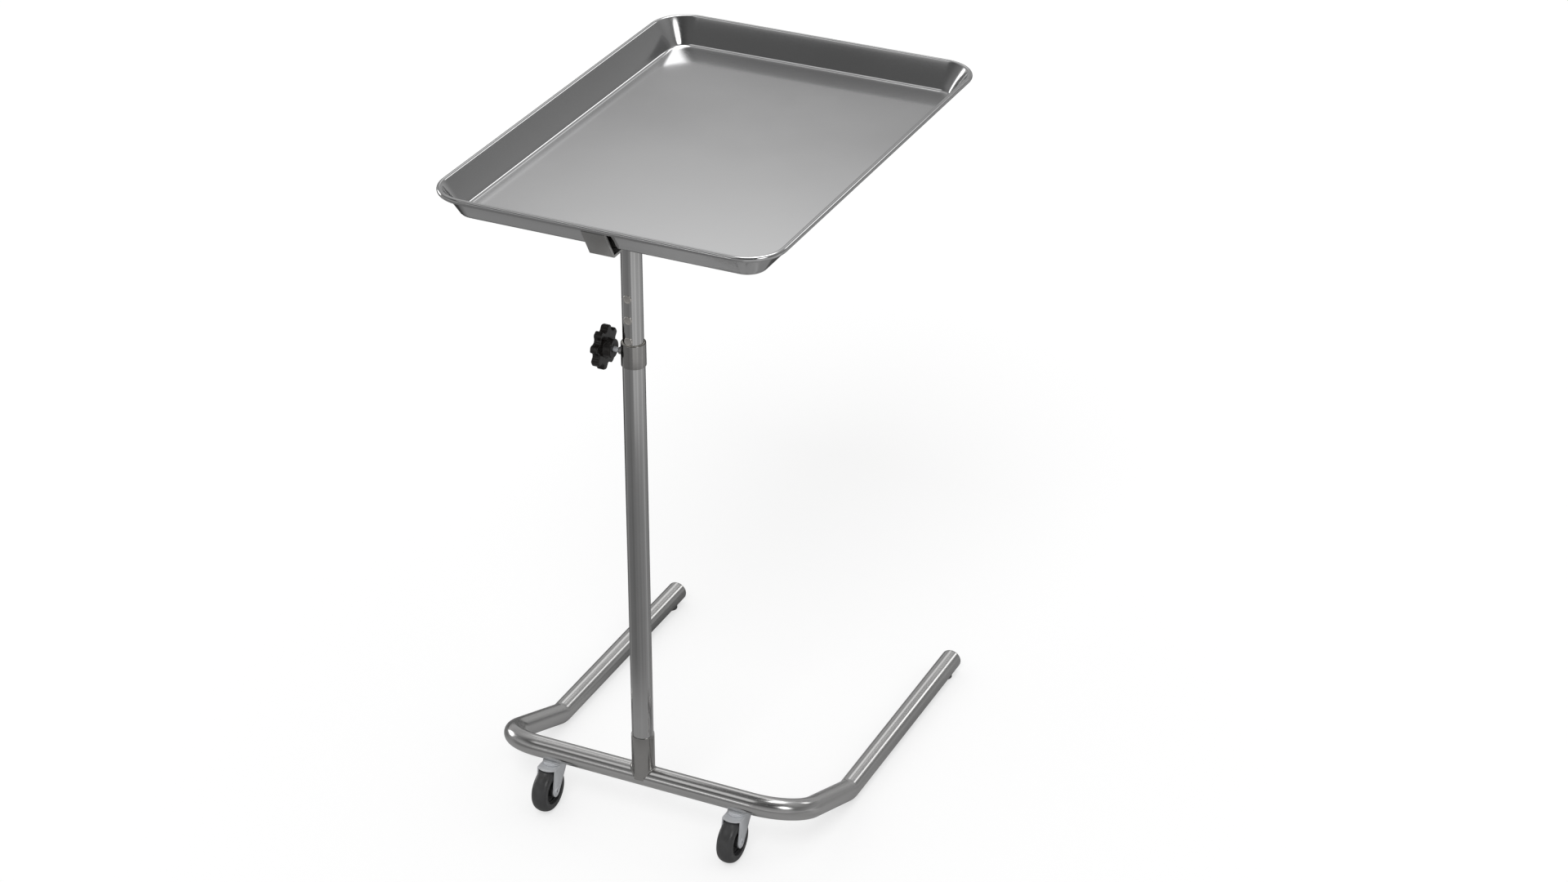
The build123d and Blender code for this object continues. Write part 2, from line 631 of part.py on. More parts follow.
def make_clamp_screw():
    """Threaded rod from the tip through the collar into the knob's insert."""
    start = SCREW_TIP + FIT
    screw = rod_x(CLAMP_SCREW_R, -INSERT_END, -start, z=CLAMP_HEIGHT)
    bore_end = SCREW_TIP + CLAMP_TIP_STEM + AIR
    return screw - rod_x(CLAMP_TIP_STEM_R + FIT, -bore_end, 0, z=CLAMP_HEIGHT)


def knob_plane(station):
    """Plane square to the clamp axis, facing away from the column."""
    origin = (-station, COLUMN_Y, CLAMP_HEIGHT)
    return Plane(origin=origin, x_dir=(0, 1, 0), z_dir=(-1, 0, 0))


def make_knob_insert():
    """Hexagonal threaded insert moulded into the knob's hub."""
    outline = RegularPolygon(INSERT_AF / 2, 6, major_radius=False) - Circle(CLAMP_SCREW_R + PRESS)
    return extrude(knob_plane(INSERT_START) * outline, INSERT_LENGTH)


def make_clamp_knob():
    """Lobed hand knob with a hub towards the column and a dished outer face."""
    scallop_at = KNOB_R + KNOB_SCALLOP_OUT
    outline = Circle(KNOB_R)
    for i in range(KNOB_LOBES):
        angle = KNOB_PHASE + 360 / KNOB_LOBES * (i + 0.5)
        outline -= Rot(0, 0, angle) * Pos(scallop_at, 0) * Circle(KNOB_SCALLOP_R)
    outline = fillet(outline.vertices(), KNOB_VALLEY_EDGE)
    knob = extrude(knob_plane(KNOB_HUB_FOOT) * outline, KNOB_THICKNESS)
    rims = knob.faces().sort_by(Axis.X)
    knob = fillet(rims[0].outer_wire().edges() + rims[-1].outer_wire().edges(), KNOB_EDGE)
    knob -= extrude(knob_plane(KNOB_FACE - KNOB_DISH) * Circle(KNOB_DISH_R), KNOB_DISH + OVERCUT)
    hub_foot = knob_plane(KNOB_HUB_FOOT + OVERCUT) * Circle(KNOB_HUB_R + KNOB_HUB_TAPER)
    hub_end = knob_plane(KNOB_HUB_END) * Circle(KNOB_HUB_R)
    hub = loft([hub_foot, hub_end])
    hub = fillet(hub.edges().group_by(Axis.X)[-1], KNOB_HUB_EDGE)
    knob += hub
    pocket = RegularPolygon(INSERT_AF / 2 + PRESS, 6, major_radius=False)
    knob -= extrude(knob_plane(INSERT_START) * pocket, INSERT_LENGTH + PRESS)
    return knob - rod_x(CLAMP_SCREW_R + FIT, -INSERT_START, 0, z=CLAMP_HEIGHT)


# Casters
WHEEL_Y = COLUMN_Y - CASTER_TRAIL
STEM_FLANGE_BOTTOM = CROSSBAR_BOTTOM - STEM_FLANGE
RACE_BOTTOM = STEM_FLANGE_BOTTOM - RACE_THICKNESS
FORK_PLATE_BOTTOM = FORK_PLATE_TOP - FORK_SHEET
FORK_INNER = WHEEL_WIDTH / 2 + FORK_SIDE_GAP
FORK_HALF = FORK_INNER + FORK_SHEET
SPACER_R = AXLE_R + FIT + SPACER_WALL
BALL_HEIGHT = (FORK_PLATE_TOP + RACE_BOTTOM) / 2
BALL_PLACES = [360 / BALL_COUNT * i for i in range(BALL_COUNT)]


def ball_track(x):
    """Ring that cuts the ball grooves in the race and the fork."""
    return Pos(x, COLUMN_Y, BALL_HEIGHT) * Torus(BALL_RING_R, BALL_R + BALL_GAP)


def make_caster_stem(x):
    """Stem with a hexagonal flange under the crossbar and a riveted kingpin below it."""
    stem = rod(STEM_R, CROSSBAR_BOTTOM, CROSSBAR_BOTTOM + STEM_LENGTH, x)
    stem += hex_prism(STEM_FLANGE_AF, STEM_FLANGE_BOTTOM, CROSSBAR_BOTTOM, x)
    head_top = FORK_PLATE_BOTTOM - AIR
    stem += rod(KINGPIN_R, head_top, STEM_FLANGE_BOTTOM, x)
    return stem + rod(KINGPIN_HEAD_R, head_top - KINGPIN_HEAD, head_top, x)


def make_caster_race(x):
    """Upper ball race, pressed on the kingpin under the flange."""
    race = tube(RACE_R, KINGPIN_R + PRESS, RACE_BOTTOM, STEM_FLANGE_BOTTOM, x)
    return race - ball_track(x)


def make_caster_balls(x):
    """Ring of balls between the race and the fork."""
    ring = [Rot(0, 0, angle) * Pos(BALL_RING_R, 0) * Sphere(BALL_R) for angle in BALL_PLACES]
    return [Pos(x, COLUMN_Y, BALL_HEIGHT) * ball for ball in ring]


def make_caster_fork(x):
    """Pressed fork: a top plate with a bowed nose and two legs that taper down to the axle."""
    rear = COLUMN_Y + FORK_REAR
    front = COLUMN_Y - FORK_FRONT
    nose = COLUMN_Y - FORK_FRONT - FORK_NOSE
    edge = Polyline((FORK_HALF, front), (FORK_HALF, rear), (-FORK_HALF, rear), (-FORK_HALF, front))
    bow = ThreePointArc((-FORK_HALF, front), (0, nose), (FORK_HALF, front))
    plate = extrude(Pos(0, 0, FORK_PLATE_BOTTOM) * make_face([*edge.edges(), bow]), FORK_SHEET)
    eye = Pos(WHEEL_Y, WHEEL_R) * Circle(FORK_EYE_R)
    shoulders = Polyline(
        (front, FORK_PLATE_TOP), (rear, FORK_PLATE_TOP), (rear, FORK_PLATE_TOP - FORK_BACK_DROP)
    )
    side = make_hull([*eye.edges(), *shoulders.edges()])
    legs = []
    for start in (-FORK_HALF, FORK_INNER):
        legs.append(Pos(start, 0, 0) * extrude(Plane.YZ * side, FORK_SHEET))
    fork = plate + legs[0] + legs[1]
    ridge = [
        edge
        for edge in edges_at_height(fork, FORK_PLATE_TOP)
        if abs(abs(edge.center().X) - FORK_HALF) < AIR
    ]
    fork = Pos(x, 0, 0) * fillet(ridge, FORK_EDGE)
    fork -= rod(KINGPIN_R + FIT, FORK_PLATE_BOTTOM - OVERCUT, FORK_PLATE_TOP + OVERCUT, x)
    fork -= rod_x(AXLE_R + PRESS, x - 2 * FORK_HALF, x + 2 * FORK_HALF, WHEEL_Y, WHEEL_R)
    return fork - ball_track(x)


def make_caster_axle(x):
    """Hollow rivet through the fork legs, with a head outside each."""
    end = FORK_HALF + AXLE_HEAD
    axle = rod_x(AXLE_R, x - FORK_HALF, x + FORK_HALF, WHEEL_Y, WHEEL_R)
    axle += rod_x(AXLE_HEAD_R, x - end, x - FORK_HALF, WHEEL_Y, WHEEL_R)
    axle += rod_x(AXLE_HEAD_R, x + FORK_HALF, x + end, WHEEL_Y, WHEEL_R)
    return axle - rod_x(AXLE_BORE_R, x - 2 * end, x + 2 * end, WHEEL_Y, WHEEL_R)


def make_caster_spacer(x):
    """Sleeve on the axle between the fork legs, which the wheel turns on."""
    spacer = rod_x(SPACER_R, x - FORK_INNER, x + FORK_INNER, WHEEL_Y, WHEEL_R)
    return spacer - rod_x(AXLE_R + FIT, x - FORK_HALF, x + FORK_HALF, WHEEL_Y, WHEEL_R)


def spin(outline, x):
    """Solid of revolution about the axle; outline x is the axial place, y the radius."""
    place = Pos(x, WHEEL_Y, WHEEL_R)
    return place * revolve(outline, Axis.X)


def make_wheel_core(x):
    """Moulded wheel centre: hub, web and a rim that the tyre sits on."""
    hub_half = FORK_INNER - HUB_GAP
    rim_half = TYRE_SEAT_WIDTH / 2
    bore = SPACER_R + FIT
    rim_bottom = TYRE_SEAT_R - WHEEL_RIM
    points = [
        (-hub_half, bore),
        (-hub_half, HUB_R),
        (-WHEEL_WEB / 2, HUB_R),
        (-WHEEL_WEB / 2, rim_bottom),
        (-rim_half, rim_bottom),
        (-rim_half, TYRE_SEAT_R),
    ]
    outline = Polyline(*points, *[(-a, b) for a, b in reversed(points)], close=True)
    return spin(make_face(outline), x)


def make_tyre(x):
    """Rubber tyre with a crowned tread."""
    half = WHEEL_WIDTH / 2
    seat = TYRE_SEAT_R + PRESS
    shoulder = WHEEL_R - TYRE_CROWN
    crown = EllipticalCenterArc((0, shoulder), half, TYRE_CROWN, start_angle=0, arc_size=180)
    flank = Polyline((-half, shoulder), (-half, seat), (half, seat), (half, shoulder))
    return spin(make_face([crown, *flank.edges()]), x)


CASTER_PIECES = {
    "stem": make_caster_stem,
    "race": make_caster_race,
    "balls": make_caster_balls,
    "fork": make_caster_fork,
    "axle": make_caster_axle,
    "spacer": make_caster_spacer,
    "wheel": make_wheel_core,
    "tyre": make_tyre,
}
STAND_PIECES = {
    "base_frame": make_base_frame,
    "leg_end_plugs": make_leg_end_plugs,
    "leg_glides": make_leg_glides,
    "caster_inserts": make_caster_inserts,
    "column_socket": make_column_socket,
    "lower_column": make_lower_column,
    "column_base_plug": make_column_base_plug,
    "socket_screw": make_socket_screw,
    "clamp_collar": make_clamp_collar,
    "guide_bush": make_guide_bush,
    "upper_column": make_upper_column,
    "column_guide_ring": make_column_guide_ring,
    "index_studs": make_index_studs,
    "column_top_plug": make_column_top_plug,
    "support_strap": make_support_strap,
    "support_rib": make_support_rib,
    "cross_strap": make_cross_strap,
    "strap_screws": make_strap_screws,
    "cross_rivets": make_cross_rivets,
    "tray_pads": make_tray_pads,
    "tray": make_tray,
    "clamp_tip": make_clamp_tip,
    "clamp_screw": make_clamp_screw,
    "clamp_knob": make_clamp_knob,
    "knob_insert": make_knob_insert,
}

parts = {name: make() for name, make in STAND_PIECES.items()}
for side, x in zip(("left", "right"), CASTER_XS):
    for piece, make in CASTER_PIECES.items():
        parts[f"caster_{side}_{piece}"] = make(x)

os.makedirs("parts", exist_ok=True)
for name, shape in parts.items():
    solids = shape if isinstance(shape, list) else shape.solids()
    whole = Compound(children=list(solids)) if len(solids) > 1 else solids[0]
    export_step(whole, f"parts/{name}.step")
    print(name, len(solids), round(sum(solid.volume for solid in solids), 1), flush=True)
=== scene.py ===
"""Dressed model of an instrument stand: a pressed steel tray on a telescoping column over a bent floor frame.

Metres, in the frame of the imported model: z = 0 is the floor, +Y runs from the column along the legs.
"""

from __future__ import annotations

import json
import logging
import math
from dataclasses import dataclass, field
from enum import Enum
from typing import Iterable, Sequence

import bmesh
import bpy
from mathutils import Matrix, Vector

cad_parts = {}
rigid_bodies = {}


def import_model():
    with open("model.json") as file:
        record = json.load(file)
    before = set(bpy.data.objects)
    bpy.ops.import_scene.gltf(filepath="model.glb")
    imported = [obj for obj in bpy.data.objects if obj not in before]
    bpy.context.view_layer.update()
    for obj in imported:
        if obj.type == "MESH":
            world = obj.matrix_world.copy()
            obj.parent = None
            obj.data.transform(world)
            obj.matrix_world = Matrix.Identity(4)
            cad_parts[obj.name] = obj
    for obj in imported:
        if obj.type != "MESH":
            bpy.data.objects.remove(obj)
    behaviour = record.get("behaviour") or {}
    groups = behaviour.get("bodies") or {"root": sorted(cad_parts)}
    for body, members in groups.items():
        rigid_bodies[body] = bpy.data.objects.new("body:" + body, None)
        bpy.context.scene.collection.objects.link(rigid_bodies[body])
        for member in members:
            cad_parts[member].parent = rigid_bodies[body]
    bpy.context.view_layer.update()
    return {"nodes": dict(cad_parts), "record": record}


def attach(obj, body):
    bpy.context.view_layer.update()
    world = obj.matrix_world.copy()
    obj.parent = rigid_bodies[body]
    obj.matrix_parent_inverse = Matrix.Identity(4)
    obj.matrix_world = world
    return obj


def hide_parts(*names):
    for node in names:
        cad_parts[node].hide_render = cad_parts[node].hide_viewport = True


LOG = logging.getLogger("stand")
SEED = 7
MM = 0.001
UP = Vector((0.0, 0.0, 1.0))
SHARP = 35.0
EASED_ABOVE = 38.0
RIDGE_SHARE = 0.36
MARKS = (0.7, 1.3)
SPECK_SCALE = 2600.0
CASTER_X = 120.75
Point = tuple[float, float]


class Pattern(Enum):
    """Where a finish takes its coordinates from."""

    OBJECT = "Object"
    ALONG = "UV"


class Graph:
    """Adds and links the nodes of one shader tree."""

    def __init__(self, tree: bpy.types.NodeTree) -> None:
        """Keep the tree.

        Args:
            tree: The node tree to fill.
        """
        self.tree = tree

    @classmethod
    def blank(cls, name: str) -> tuple[bpy.types.Material, Graph]:
        """Start a material with an empty tree.

        Args:
            name: The material's name.

        Returns:
            The material and its graph.
        """
        made = bpy.data.materials.new(name)
        made.use_nodes = True
        made.node_tree.nodes.clear()
        return made, cls(made.node_tree)

    def add(self, kind: str, inputs: dict | None = None, **settings: object) -> bpy.types.Node:
        """Add a node, set its properties, and set or link its inputs.

        Args:
            kind: The node's type name.
            inputs: Values or output sockets, by input name or index.
            **settings: Properties of the node.

        Returns:
            The node.
        """
        node = self.tree.nodes.new(kind)
        for key, value in settings.items():
            setattr(node, key, value)
        for key, value in (inputs or {}).items():
            if isinstance(value, bpy.types.NodeSocket):
                self.tree.links.new(value, node.inputs[key])
            else:
                node.inputs[key].default_value = value
        return node

    def math(self, operation: str, *values: object) -> bpy.types.NodeSocket:
        """Add a Math node.

        Args:
            operation: The node's operation.
            *values: Numbers or sockets.

        Returns:
            Its output.
        """
        return self.add("ShaderNodeMath", dict(enumerate(values)), operation=operation).outputs[0]

    def vector(self, operation: str, *values: object) -> bpy.types.Node:
        """Add a Vector Math node.

        Args:
            operation: The node's operation.
            *values: Vectors or sockets.

        Returns:
            The node.
        """
        return self.add("ShaderNodeVectorMath", dict(enumerate(values)), operation=operation)

    def ramp(self, value: object, low: float, high: float, to_low: float, to_high: float) -> bpy.types.NodeSocket:
        """Map a value smoothly from one range to another, clamped.

        Args:
            value: The input.
            low: Where the change starts.
            high: Where the change ends.
            to_low: The output below low.
            to_high: The output above high.

        Returns:
            The mapped value.
        """
        node = self.add(
            "ShaderNodeMapRange",
            {"Value": value, "From Min": low, "From Max": high, "To Min": to_low, "To Max": to_high},
            interpolation_type="SMOOTHSTEP",
        )
        return node.outputs["Result"]

    def noise(self, place: bpy.types.NodeSocket, scale: float, detail: float = 3.0) -> bpy.types.NodeSocket:
        """Add noise.

        Args:
            place: Its coordinates.
            scale: Its scale, per metre.
            detail: Its octaves.

        Returns:
            The noise, about 0.5.
        """
        node = self.add("ShaderNodeTexNoise", {"Vector": place, "Scale": scale, "Detail": detail})
        return node.outputs["Fac"]

    def tint(self, share: object, first: Sequence[float], second: Sequence[float]) -> bpy.types.NodeSocket:
        """Mix two colours.

        Args:
            share: How much of the second.
            first: Linear RGB.
            second: Linear RGB.

        Returns:
            The colour.
        """
        inputs = {0: share, 6: (*first, 1.0), 7: (*second, 1.0)}
        return self.add("ShaderNodeMix", inputs, data_type="RGBA").outputs[2]


@dataclass(frozen=True)
class Finish:
    """A surface finish, built as a material from noise at the real scale of its marks."""

    name: str
    colour: tuple[float, float, float]
    metallic: float = 0.0
    roughness: float = 0.4
    roughness_spread: float = 0.05
    shade: float = 0.06
    grain: tuple[float, float, float] = (900.0, 900.0, 900.0)
    grain_height: float = 0.00001
    cloud: float = 9.0
    pattern: Pattern = Pattern.OBJECT
    anisotropic: float = 0.0
    specular: float = 0.5
    speck: float = 0.0

    def material(self) -> bpy.types.Material:
        """Build the material.

        Returns:
            The material.
        """
        made, graph = Graph.blank(self.name)
        place = graph.add("ShaderNodeTexCoord").outputs[self.pattern.value]
        stretched = graph.add("ShaderNodeMapping", {"Vector": place, "Scale": self.grain}).outputs[0]
        grain = graph.noise(stretched, 1.0, 2.0)
        cloud = graph.noise(place, self.cloud, 4.0)
        marks = graph.math("ADD", grain, cloud)
        share = graph.ramp(marks, *MARKS, 0.0, 1.0)
        dark = tuple(channel * (1 - self.shade) for channel in self.colour)
        light = tuple(min(1.0, channel * (1 + self.shade)) for channel in self.colour)
        colour = graph.tint(share, dark, light)
        if self.speck:
            fine = graph.ramp(graph.noise(place, SPECK_SCALE, 2.0), 0.5, 0.75, 0.0, self.speck)
            white = (1.0, 1.0, 1.0, 1.0)
            colour = graph.add("ShaderNodeMix", {0: fine, 6: colour, 7: white}, data_type="RGBA").outputs[2]
        low, high = self.roughness - self.roughness_spread, self.roughness + self.roughness_spread
        rough = graph.ramp(marks, *MARKS, low, high)
        bump = graph.add("ShaderNodeBump", {"Height": grain, "Distance": self.grain_height})
        inputs = {
            "Base Color": colour,
            "Metallic": self.metallic,
            "Roughness": rough,
            "Normal": bump.outputs[0],
            "Specular IOR Level": self.specular,
            "Anisotropic": self.anisotropic,
        }
        shader = graph.add("ShaderNodeBsdfPrincipled", inputs)
        if self.pattern is Pattern.ALONG and self.anisotropic:
            tangent = graph.add("ShaderNodeTangent", direction_type="UV_MAP", uv_map="UVMap")
            graph.tree.links.new(tangent.outputs[0], shader.inputs["Tangent"])
        graph.add("ShaderNodeOutputMaterial", {"Surface": shader.outputs[0]})
        return made


TUBE_STEEL = Finish(
    "polished_tube_steel", (0.58, 0.577, 0.575), metallic=1.0, roughness=0.1, roughness_spread=0.03,
    shade=0.07, grain=(4.0, 620.0, 1.0), grain_height=0.000005, pattern=Pattern.ALONG, anisotropic=0.3,
)
FRAME_STEEL = Finish(
    "satin_frame_steel", (0.635, 0.63, 0.624), metallic=1.0, roughness=0.2, roughness_spread=0.04,
    shade=0.06, grain=(4.0, 620.0, 1.0), grain_height=0.000005, pattern=Pattern.ALONG, anisotropic=0.3,
)
SHEET_STEEL = Finish(
    "pressed_sheet_steel", (0.6, 0.6, 0.602), metallic=1.0, roughness=0.115, roughness_spread=0.025,
    shade=0.03, grain=(1000.0, 1000.0, 1000.0), grain_height=0.000005, cloud=5.0,
)
TURNED_STEEL = Finish(
    "turned_steel", (0.45, 0.442, 0.43), metallic=1.0, roughness=0.2, roughness_spread=0.04,
    shade=0.06, grain=(4.0, 1500.0, 1.0), grain_height=0.000004, pattern=Pattern.ALONG,
)
STUD_STEEL = Finish(
    "stud_steel", (0.8, 0.77, 0.735), metallic=1.0, roughness=0.24, roughness_spread=0.04,
    shade=0.06, grain=(1200.0, 1200.0, 1200.0), grain_height=0.000004,
)
BAR_STEEL = Finish(
    "flat_bar_steel", (0.53, 0.525, 0.515), metallic=1.0, roughness=0.31, roughness_spread=0.05,
    shade=0.05, grain=(1200.0, 25.0, 1200.0), grain_height=0.00001,
)
ZINC = Finish(
    "bright_zinc_plate", (0.78, 0.795, 0.82), metallic=0.55, roughness=0.36, roughness_spread=0.04,
    shade=0.04, grain=(900.0, 900.0, 900.0), grain_height=0.000006, cloud=60.0,
)
BALL_STEEL = Finish(
    "hardened_ball_steel", (0.68, 0.68, 0.7), metallic=1.0, roughness=0.07, roughness_spread=0.02, shade=0.02,
)
KNOB_PLASTIC = Finish(
    "moulded_knob_plastic", (0.0085, 0.007, 0.006), roughness=0.2, roughness_spread=0.05, shade=0.2,
    grain=(420.0, 420.0, 420.0), grain_height=0.00002, cloud=40.0, specular=0.55,
)
BLACK_PLASTIC = Finish(
    "matt_black_plastic", (0.022, 0.022, 0.023), roughness=0.48, roughness_spread=0.06, shade=0.12,
    grain=(1300.0, 1300.0, 1300.0), grain_height=0.00002, cloud=30.0,
)
NYLON = Finish(
    "natural_nylon", (0.68, 0.66, 0.6), roughness=0.42, roughness_spread=0.05, shade=0.05,
    grain=(800.0, 800.0, 800.0), grain_height=0.00001,
)
TYRE_RUBBER = Finish(
    "charcoal_tyre_rubber", (0.04, 0.04, 0.041), roughness=0.33, roughness_spread=0.06, shade=0.15,
    grain=(1600.0, 1600.0, 1600.0), grain_height=0.00002, cloud=90.0, speck=0.015, specular=0.7,
)
PAD_RUBBER = Finish(
    "grey_pad_rubber", (0.1, 0.1, 0.102), roughness=0.6, roughness_spread=0.06, shade=0.12,
    grain=(1400.0, 1400.0, 1400.0), grain_height=0.00003,
)
BRASS = Finish(
    "turned_brass", (0.72, 0.5, 0.2), metallic=1.0, roughness=0.28, roughness_spread=0.05, shade=0.06,
    grain=(2400.0, 120.0, 120.0), grain_height=0.000008,
)


class Paint:
    """Keeps one material for each finish."""

    made: dict[str, bpy.types.Material] = {}

    @classmethod
    def of(cls, finish: Finish) -> bpy.types.Material:
        """Return the finish's material, made on first use.

        Args:
            finish: The finish.

        Returns:
            Its material.
        """
        if finish.name not in cls.made:
            cls.made[finish.name] = finish.material()
        return cls.made[finish.name]


@dataclass
class Shape:
    """A mesh under construction, with a UV in metres on every corner."""

    points: list[Vector] = field(default_factory=list)
    faces: list[tuple[list[int], list[Point]]] = field(default_factory=list)

    def grid(self, rows: Sequence[Sequence[Vector]], across: Sequence[float], along: Sequence[float],
             close_rows: bool = False, close_columns: bool = True) -> int:
        """Add quads between rows of points.

        Args:
            rows: Rings of equally many points.
            across: UV v of each point of a ring, with one more value where rings close.
            along: UV u of each row, with one more value where the rows close.
            close_rows: Whether the last row joins the first.
            close_columns: Whether each ring is closed.

        Returns:
            The index of the first point.
        """
        first = len(self.points)
        count = len(rows[0])
        for row in rows:
            self.points.extend(row)
        for i in range(len(rows) if close_rows else len(rows) - 1):
            below, above = first + i * count, first + (i + 1) % len(rows) * count
            for j in range(count if close_columns else count - 1):
                k = (j + 1) % count
                corners = [below + j, below + k, above + k, above + j]
                uv = [
                    (along[i], across[j]), (along[i], across[j + 1]),
                    (along[i + 1], across[j + 1]), (along[i + 1], across[j]),
                ]
                self.faces.append((corners, uv))
        return first

    def cap(self, ring: Sequence[int], flip: bool = False) -> None:
        """Close a ring with one face.

        Args:
            ring: Indices of its points.
            flip: Whether to turn the face over.
        """
        order = list(reversed(ring)) if flip else list(ring)
        self.faces.append((order, [(self.points[i].x, self.points[i].y) for i in order]))

    def build(self, name: str, finish: Finish, smooth: float = 40.0) -> bpy.types.Object:
        """Make the object.

        Args:
            name: Its name.
            finish: Its finish.
            smooth: Edges that turn by more than this many degrees stay sharp.

        Returns:
            The object, at the origin.
        """
        mesh = bpy.data.meshes.new(name)
        mesh.from_pydata([tuple(point) for point in self.points], [], [face for face, _ in self.faces])
        layer = mesh.uv_layers.new(name="UVMap")
        flat = [value for _, uv in self.faces for value in uv]
        for loop, value in zip(layer.data, flat):
            loop.uv = value
        work = bmesh.new()
        work.from_mesh(mesh)
        bmesh.ops.remove_doubles(work, verts=work.verts, dist=1e-7)
        bmesh.ops.recalc_face_normals(work, faces=work.faces)
        work.to_mesh(mesh)
        work.free()
        mesh.materials.append(Paint.of(finish))
        thing = linked(name, mesh)
        shade(thing, smooth)
        return thing


def linked(name: str, data: bpy.types.ID) -> bpy.types.Object:
    """Put an object in the scene.

    Args:
        name: Its name.
        data: Its mesh, lamp or camera.

    Returns:
        The object, at the origin.
    """
    thing = bpy.data.objects.new(name, data)
    bpy.context.scene.collection.objects.link(thing)
    return thing


def shade(thing: bpy.types.Object, degrees: float = SHARP) -> None:
    """Shade smooth, with edges above an angle left sharp.

    Args:
        thing: The object.
        degrees: The angle.
    """
    mesh = thing.data
    mesh.polygons.foreach_set("use_smooth", [True] * len(mesh.polygons))
    work = bmesh.new()
    work.from_mesh(mesh)
    limit = math.radians(degrees)
    for edge in work.edges:
        edge.smooth = len(edge.link_faces) == 2 and edge.calc_face_angle(0.0) < limit
    work.to_mesh(mesh)
    work.free()
    mesh.update()


def arc(centre: Point, radius: float, start: float, end: float, count: int) -> list[Point]:
    """Points along an arc.

    Args:
        centre: Its centre.
        radius: Its radius.
        start: First angle, degrees.
        end: Last angle, degrees.
        count: Number of spans.

    Returns:
        The points, both ends included.
    """
    angles = [math.radians(start + (end - start) * i / count) for i in range(count + 1)]
    return [(centre[0] + radius * math.cos(a), centre[1] + radius * math.sin(a)) for a in angles]


def running(points: Sequence[Sequence[float]], closed: bool) -> list[float]:
    """Distance run at each point.

    Args:
        points: The points.
        closed: Whether to add the way back to the first.

    Returns:
        The distances, from zero.
    """
    far = [0.0]
    loop = list(points) + ([points[0]] if closed else [])
    for before, after in zip(loop, loop[1:]):
        far.append(far[-1] + (Vector(after) - Vector(before)).length)
    return far


def rounded_route(corners: Sequence[Vector], radii: Sequence[float], spans: int) -> list[Vector]:
    """Straight runs joined by arcs.

    Args:
        corners: The route's corners and both its ends.
        radii: The bend radius at each corner.
        spans: Spans in each bend.

    Returns:
        Points along the route.
    """
    route = [corners[0]]
    for before, corner, after, radius in zip(corners, corners[1:], corners[2:], radii):
        back, on = (before - corner).normalized(), (after - corner).normalized()
        half = back.angle(on) / 2
        centre = corner + (back + on).normalized() * (radius / math.sin(half))
        first = corner + back * (radius / math.tan(half)) - centre
        axis = back.cross(on).normalized()
        turn = math.pi - 2 * half
        for i in range(spans + 1):
            route.append(centre + Matrix.Rotation(-turn * i / spans, 3, axis) @ first)
    route.append(corners[-1])
    return route


def tube_body(name: str, route: Sequence[Vector], outer: float, inner: float, finish: Finish,
              spans: int = 64) -> bpy.types.Object:
    """A tube along a route, with its bore and its two end faces.

    Args:
        name: Its name.
        route: Its centre line.
        outer: Outer radius.
        inner: Bore radius.
        finish: Its finish.
        spans: Spans round it.

    Returns:
        The object.
    """
    shape = Shape()
    edge = min(0.0003, (outer - inner) / 4)
    rings = [(inner, edge), (inner + edge, 0.0), (outer - edge, 0.0), (outer, edge)]
    circle = arc((0.0, 0.0), 1.0, 0.0, 360.0, spans)[:-1]
    first_way = (route[1] - route[0]).normalized()
    last_way = (route[-2] - route[-1]).normalized()
    stations = [(route[0] + first_way * inset, radius) for radius, inset in rings]
    stations += [(point, outer) for point in route[1:-1]]
    stations += [(route[-1] + last_way * inset, radius) for radius, inset in reversed(rings)]
    stations += [(point, inner) for point in reversed(route[1:-1])]
    ways = [first_way] * len(rings)
    ways += [(b - a).normalized() for a, b in zip(route, route[2:])]
    ways += [-last_way] * len(rings)
    ways += [(b - a).normalized() for a, b in reversed(list(zip(route, route[2:])))]
    side = UP if abs(first_way.z) < 0.9 else Vector((1.0, 0.0, 0.0))
    rows = []
    for (point, radius), ahead in zip(stations, ways):
        side = (side - ahead * side.dot(ahead)).normalized()
        other = ahead.cross(side)
        rows.append([point + (side * a + other * b) * radius for a, b in circle])
    around = [outer * 2 * math.pi * i / spans for i in range(spans + 1)]
    along = running([point for point, _ in stations], True)
    shape.grid(rows, around, along, close_rows=True)
    return shape.build(name, finish)


def turned(name: str, centre: Vector, axis: Vector, profile: Sequence[Point], finish: Finish,
           spans: int = 96, smooth: float = SHARP, drawn: bool = False) -> bpy.types.Object:
    """A solid of revolution from a closed profile.

    Args:
        name: Its name.
        centre: The profile's origin.
        axis: The axis of revolution.
        profile: Closed outline in millimetres as (along the axis, radius).
        finish: Its finish.
        spans: Spans round it.
        smooth: Sharp-edge angle, degrees.
        drawn: Whether its marks run along the axis instead of round it.

    Returns:
        The object.
    """
    shape = Shape()
    axis = axis.normalized()
    side = axis.orthogonal().normalized()
    other = axis.cross(side)
    sized = [(a * MM, r * MM) for a, r in profile]
    rows = []
    for i in range(spans):
        angle = 2 * math.pi * i / spans
        out = side * math.cos(angle) + other * math.sin(angle)
        rows.append([centre + axis * a + out * r for a, r in sized])
    widest = max(r for _, r in sized)
    around = [widest * 2 * math.pi * i / spans for i in range(spans + 1)]
    shape.grid(rows, running(sized, True), around, close_rows=True)
    if drawn:
        shape.faces = [(corners, [(v, u) for u, v in uv]) for corners, uv in shape.faces]
    return shape.build(name, finish, smooth)


